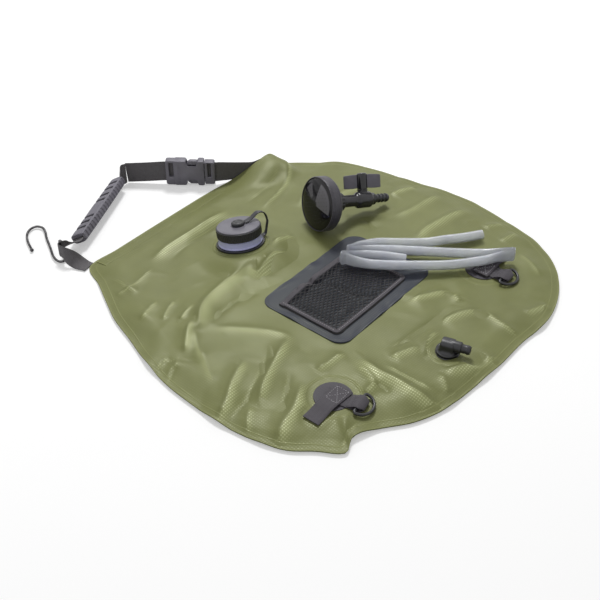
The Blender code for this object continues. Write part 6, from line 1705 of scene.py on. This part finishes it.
def face_finish():
    """Glossy black with painted highlights: its colour turns grey, and its gloss satin, where the attribute
    is high.
    """
    finish, shader = new_finish("face_black", (0.012, 0.012, 0.014), 0.12, Specular_IOR_Level=0.32)
    at = place_of(finish)
    bright = node(finish, "Attribute", attribute_name="sector").outputs["Fac"]
    cloud = noise(finish, at, 60.0, 4.0)
    # Painted highlight: the black turns grey where the attribute is high.
    share = sums(finish, "MULTIPLY_ADD", cloud, 0.25, sums(finish, "MULTIPLY", bright, 0.75))
    colours = blend_colours(finish, share, (0.008, 0.007, 0.009), (0.185, 0.178, 0.195), 0.20, 0.95)
    rough = sums(finish, "MULTIPLY_ADD", bright, 0.22, sums(finish, "MULTIPLY_ADD", cloud, 0.08, 0.08))
    bump = raised(finish, noise(finish, at, 900.0), 0.00001)
    return wire_up(finish, shader, Base_Color=colours, Roughness=rough, Normal=bump)


def make_pits():
    """Small discs on the dome, six, twelve, eighteen and so on round it, each a hair above its surface."""
    middle = []
    for k, radius in enumerate((0.0050, 0.0095, 0.0140, 0.0185, 0.0230)):
        count = 6 * (k + 1)
        middle += [(radius, 2 * math.pi * (j + 0.5 * (k % 2)) / count) for j in range(count)]
    r, way = np.array(middle).T[..., None]
    a = np.linspace(0, 2 * math.pi, 10, endpoint=False)
    rows = []
    for size, lift in ((0.0, 0.00006), (0.00040, 0.00008), (0.00052, 0.00004), (0.00052, -0.0003),
                       (0.0, -0.0003)):
        x, y = r * np.cos(way) + size * np.cos(a), r * np.sin(way) + size * np.sin(a)
        rows.append(np.stack([x, y, dome(np.hypot(x, y) / FACE_R) - lift], axis=2))
    grid = placed(np.stack(rows, axis=1), head_axes)
    return together("face_pits", [surface("pit_%d" % k, one, ends="poles") for k, one in enumerate(grid)])


def rim_grooves(t, r, s):
    """Two thin grooves round the rim."""
    groove = np.exp(-((s - 0.0032) / 0.0004) ** 2) + np.exp(-((s - 0.0122) / 0.0004) ** 2)
    return np.where(r > 0.0335, r - 0.0005 * groove, r)


rose_profile = mm((32.8, 0.9), (33.2, 0.2), (33.9, 0.4))
rose_profile += [(0.0345, s) for s in np.linspace(0.0018, 0.0132, 24)]
rose_profile += mm((34.2, 14.0), (32.0, 16.4), (28.6, 18.9), (24.8, 21.6), (18.0, 23.6), (12.0, 24.8),
                   (8.3, 25.7), (4.1, 25.7), (4.1, 22.0), (19.0, 19.6), (27.6, 11.8), (27.6, 4.4),
                   (32.8, 4.4))
washer_profile = mm((4.1, 26.2), (7.5, 26.2), (7.5, 27.4), (4.1, 27.4))
dress(make_face(), "rose", face_finish(), "gloss_black", "rose_face")
dress(make_pits(), "rose", seal_rubber, "gloss_black")
lathe("rose_body", "rose", pebbled, "black_plastic", rose_profile, head_axes, count=160, cut=0.0003,
      ripple=rim_grooves)
lathe("rose_washer", "shower_head", seal_rubber, "seal_rubber", washer_profile, head_axes)

# %% Head: nut, valve body and hose tail
valve_black = moulded("valve_black", (0.022, 0.021, 0.026), 0.22, grain=0.000015, scuff=0.08)
FLUTES, FLUTE_DEPTH, FLUTE_FROM, FLUTE_TO = 16, 0.0007, 0.0290, 0.0362
BARBS, BARB_FROM, BARB_SPAN = 4, 89.3, 22.7     # in millimetres, as the profiles are


def nut_grip(t, r, s):
    """Sixteen shallow flutes between the nut's two plain ends."""
    span = ease((s - FLUTE_FROM) / 0.0006) * ease((FLUTE_TO - s) / 0.0006)
    return np.where(r > 0.0100, r - FLUTE_DEPTH * span * (0.5 - 0.5 * np.cos(FLUTES * t)) ** 2, r)


nut = mm((4.1, 27.8), (10.8, 27.8), (11.8, 28.4)) + [(0.0118, s) for s in np.linspace(0.0288, 0.0364, 12)]
nut += mm((11.4, 37.0), (4.1, 37.0))
body = mm((4.1, 37.3), (8.3, 37.3), (8.3, 39.2), (7.7, 39.8), (7.6, 58.5), (8.3, 60.5), (9.9, 62.6),
          (10.5, 64.0), (10.5, 81.0), (9.9, 82.6), (8.4, 83.6), (8.3, 85.6), (7.9, 86.0), (4.1, 86.0))
collar = mm((3.4, 2.0), (6.8, 2.0), (6.8, 10.2), (6.3, 10.6), (6.3, 11.3), (6.8, 11.7), (6.7, 13.2),
            (3.4, 13.2))
tail = mm((3.0, 86.3), (7.6, 86.3), (7.8, 87.0), (7.8, 89.0), (7.4, 89.3), (4.7, 89.4))
for k in range(BARBS):
    start = BARB_FROM + k * BARB_SPAN / BARBS
    tail += mm((4.6, start + 1.4), (5.8, start + 2.1), (5.75, start + 2.8), (4.9, start + 5.5))
tail += mm((4.6, 112.0), (3.0, 112.0))
lathe("rose_nut", "shower_head", black_plastic, "black_plastic", nut, head_axes, count=128, cut=0.0003,
      ripple=nut_grip)
barrel = turned("barrel", body, head_axes, count=96, cut=0.0008)
bonnet = turned("bonnet", collar, bonnet_axes, count=72, cut=0.0003)
dress(together("valve_body", [barrel, bonnet]), "shower_head", valve_black, "black_plastic", "valve_body")
lathe("hose_tail", "shower_head", black_plastic, "black_plastic", tail, head_axes, count=72, cut=0.0002)

# %% Head: tap lever
WING_HALF = 0.0015


def make_lever():
    """A hub with a domed top, and two broad flat wings beside it."""
    profile = mm((0, 19.4), (3.4, 19.4), (3.4, 13.5), (6.4, 13.5), (6.6, 14.4), (6.6, 32.2), (5.6, 33.9),
                 (0, 34.4))
    hub = turned("hub", profile, tap_up, count=72, cut=0.0006)
    flat = tap_axes @ Matrix(((0, 1, 0, 0), (0, 0, 1, 0), (1, 0, 0, 0), (0, 0, 0, 1)))
    wing = outline_mm([(2.0, 32.4), (12.0, 32.2), (22.6, 31.4), (23.6, 30.4), (23.6, 15.4), (22.6, 14.6),
                       (12.0, 14.4), (7.0, 15.0), (2.0, 15.6)], 1.2, False)
    right = slab("wing_right", wing, -WING_HALF, WING_HALF, flat, 0.0005)
    left = slab("wing_left", (wing * (-1, 1))[::-1], -WING_HALF, WING_HALF, flat, 0.0005)
    return hub, together("tap_wings", [right, left])


lever_grey = moulded("lever_grey", (0.115, 0.108, 0.132), 0.40)
lever_hub, lever_wings = make_lever()
dress(lever_hub, "tap", gloss_black, "gloss_black", "tap_lever")
dress(lever_wings, "tap", lever_grey, "gloss_black", "tap_lever")

# %% [markdown]
# # Hidden pieces
# The ball, its seats, the packing and the stem are never seen unless the valve is opened up, so the plain
# solids stay as they are and only get a finish.

# %% Finishes of the hidden solids
white_seat = moulded("white_seat", (0.62, 0.62, 0.60), 0.45)
for name, finish in (("valve_ball", painted_sheen_plastic), ("valve_stem", black_plastic),
                     ("ball_seat_front", white_seat), ("ball_seat_back", white_seat),
                     ("stem_packing", seal_rubber)):
    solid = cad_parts[name]
    solid.data.materials.clear()
    solid.data.materials.append(finish)
print("hidden solids finished")

# %% [markdown]
# # Floor, background and light
# The bag lies on a pale floor that keeps its shadow. The world is white to the camera and to mirror-like
# rays, so the background stays plain, and weaker to matt surfaces, so that the lamps shape the folds. The
# stronger lamp stands behind the bag, so that the ridges catch it; a weaker and larger one fills from the
# left.

# %% Floor and background
FLOOR_HALF, FLOOR_GREY, FLOOR_GLOW = 6.0, 0.80, 0.36
SKY_SEEN, SKY_LIGHT = 1.0, 0.36         # as the camera, mirrors and clear plastic see it, and as a light


def make_floor():
    """A flat grid whose colour is plain, lit by the lamps and helped by a little light of its own."""
    x, y = np.meshgrid(*[np.linspace(-FLOOR_HALF, FLOOR_HALF, 9)] * 2)
    floor = surface("floor", np.stack([x, y, 0 * x - FLOOR_GAP], axis=2), around=False, ends="open")
    if floor.data.polygons[0].normal.z < 0:
        floor.data.flip_normals()
    finish = bpy.data.materials.new("pale_floor")
    finish.use_nodes = True
    finish.node_tree.nodes.clear()
    seen = node(finish, "LightPath").outputs["Is Camera Ray"]
    diffuse = node(finish, "BsdfDiffuse", {"Color": (FLOOR_GREY, FLOOR_GREY, FLOOR_GREY, 1)})
    power = sums(finish, "MULTIPLY", seen, FLOOR_GLOW)
    glow = node(finish, "Emission", {"Color": (1, 1, 1, 1), "Strength": power})
    both = node(finish, "AddShader", {0: diffuse.outputs[0], 1: glow.outputs[0]})
    node(finish, "OutputMaterial", {"Surface": both.outputs[0]})
    floor.data.materials.append(finish)


def make_world():
    """White for camera, mirror and clear rays; weaker light for the rest."""
    world = bpy.data.worlds.new("plain")
    world.use_nodes = True
    world.node_tree.nodes.clear()
    path = node(world, "LightPath").outputs
    most = sums(world, "MAXIMUM", path["Is Camera Ray"], path["Is Glossy Ray"])
    most = sums(world, "MAXIMUM", most, path["Is Transmission Ray"])
    power = node(world, "MapRange", {"Value": most, "To Min": SKY_LIGHT, "To Max": SKY_SEEN}).outputs[0]
    back = node(world, "Background", {"Color": (1, 1, 1, 1), "Strength": power})
    node(world, "OutputWorld", {"Surface": back.outputs[0]})
    bpy.context.scene.world = world


make_floor()
make_world()

# %% Lamps
def lamp(name, place, size, watts):
    """A square area light that faces the origin."""
    data = bpy.data.lights.new(name, "AREA")
    data.size, data.energy = size, watts
    item = bpy.data.objects.new(name, data)
    turn = (-Vector(place)).to_track_quat("-Z", "Y").to_matrix().to_4x4()
    item.matrix_world = Matrix.Translation(place) @ turn
    bpy.context.scene.collection.objects.link(item)


lamp("back_lamp", (0.95, 0.95, 2.05), 0.5, 33.0)
lamp("left_fill", (-1.6, 0.5, 1.7), 1.4, 4.0)
bpy.context.scene.view_settings.view_transform = "Standard"
print("lights ready")
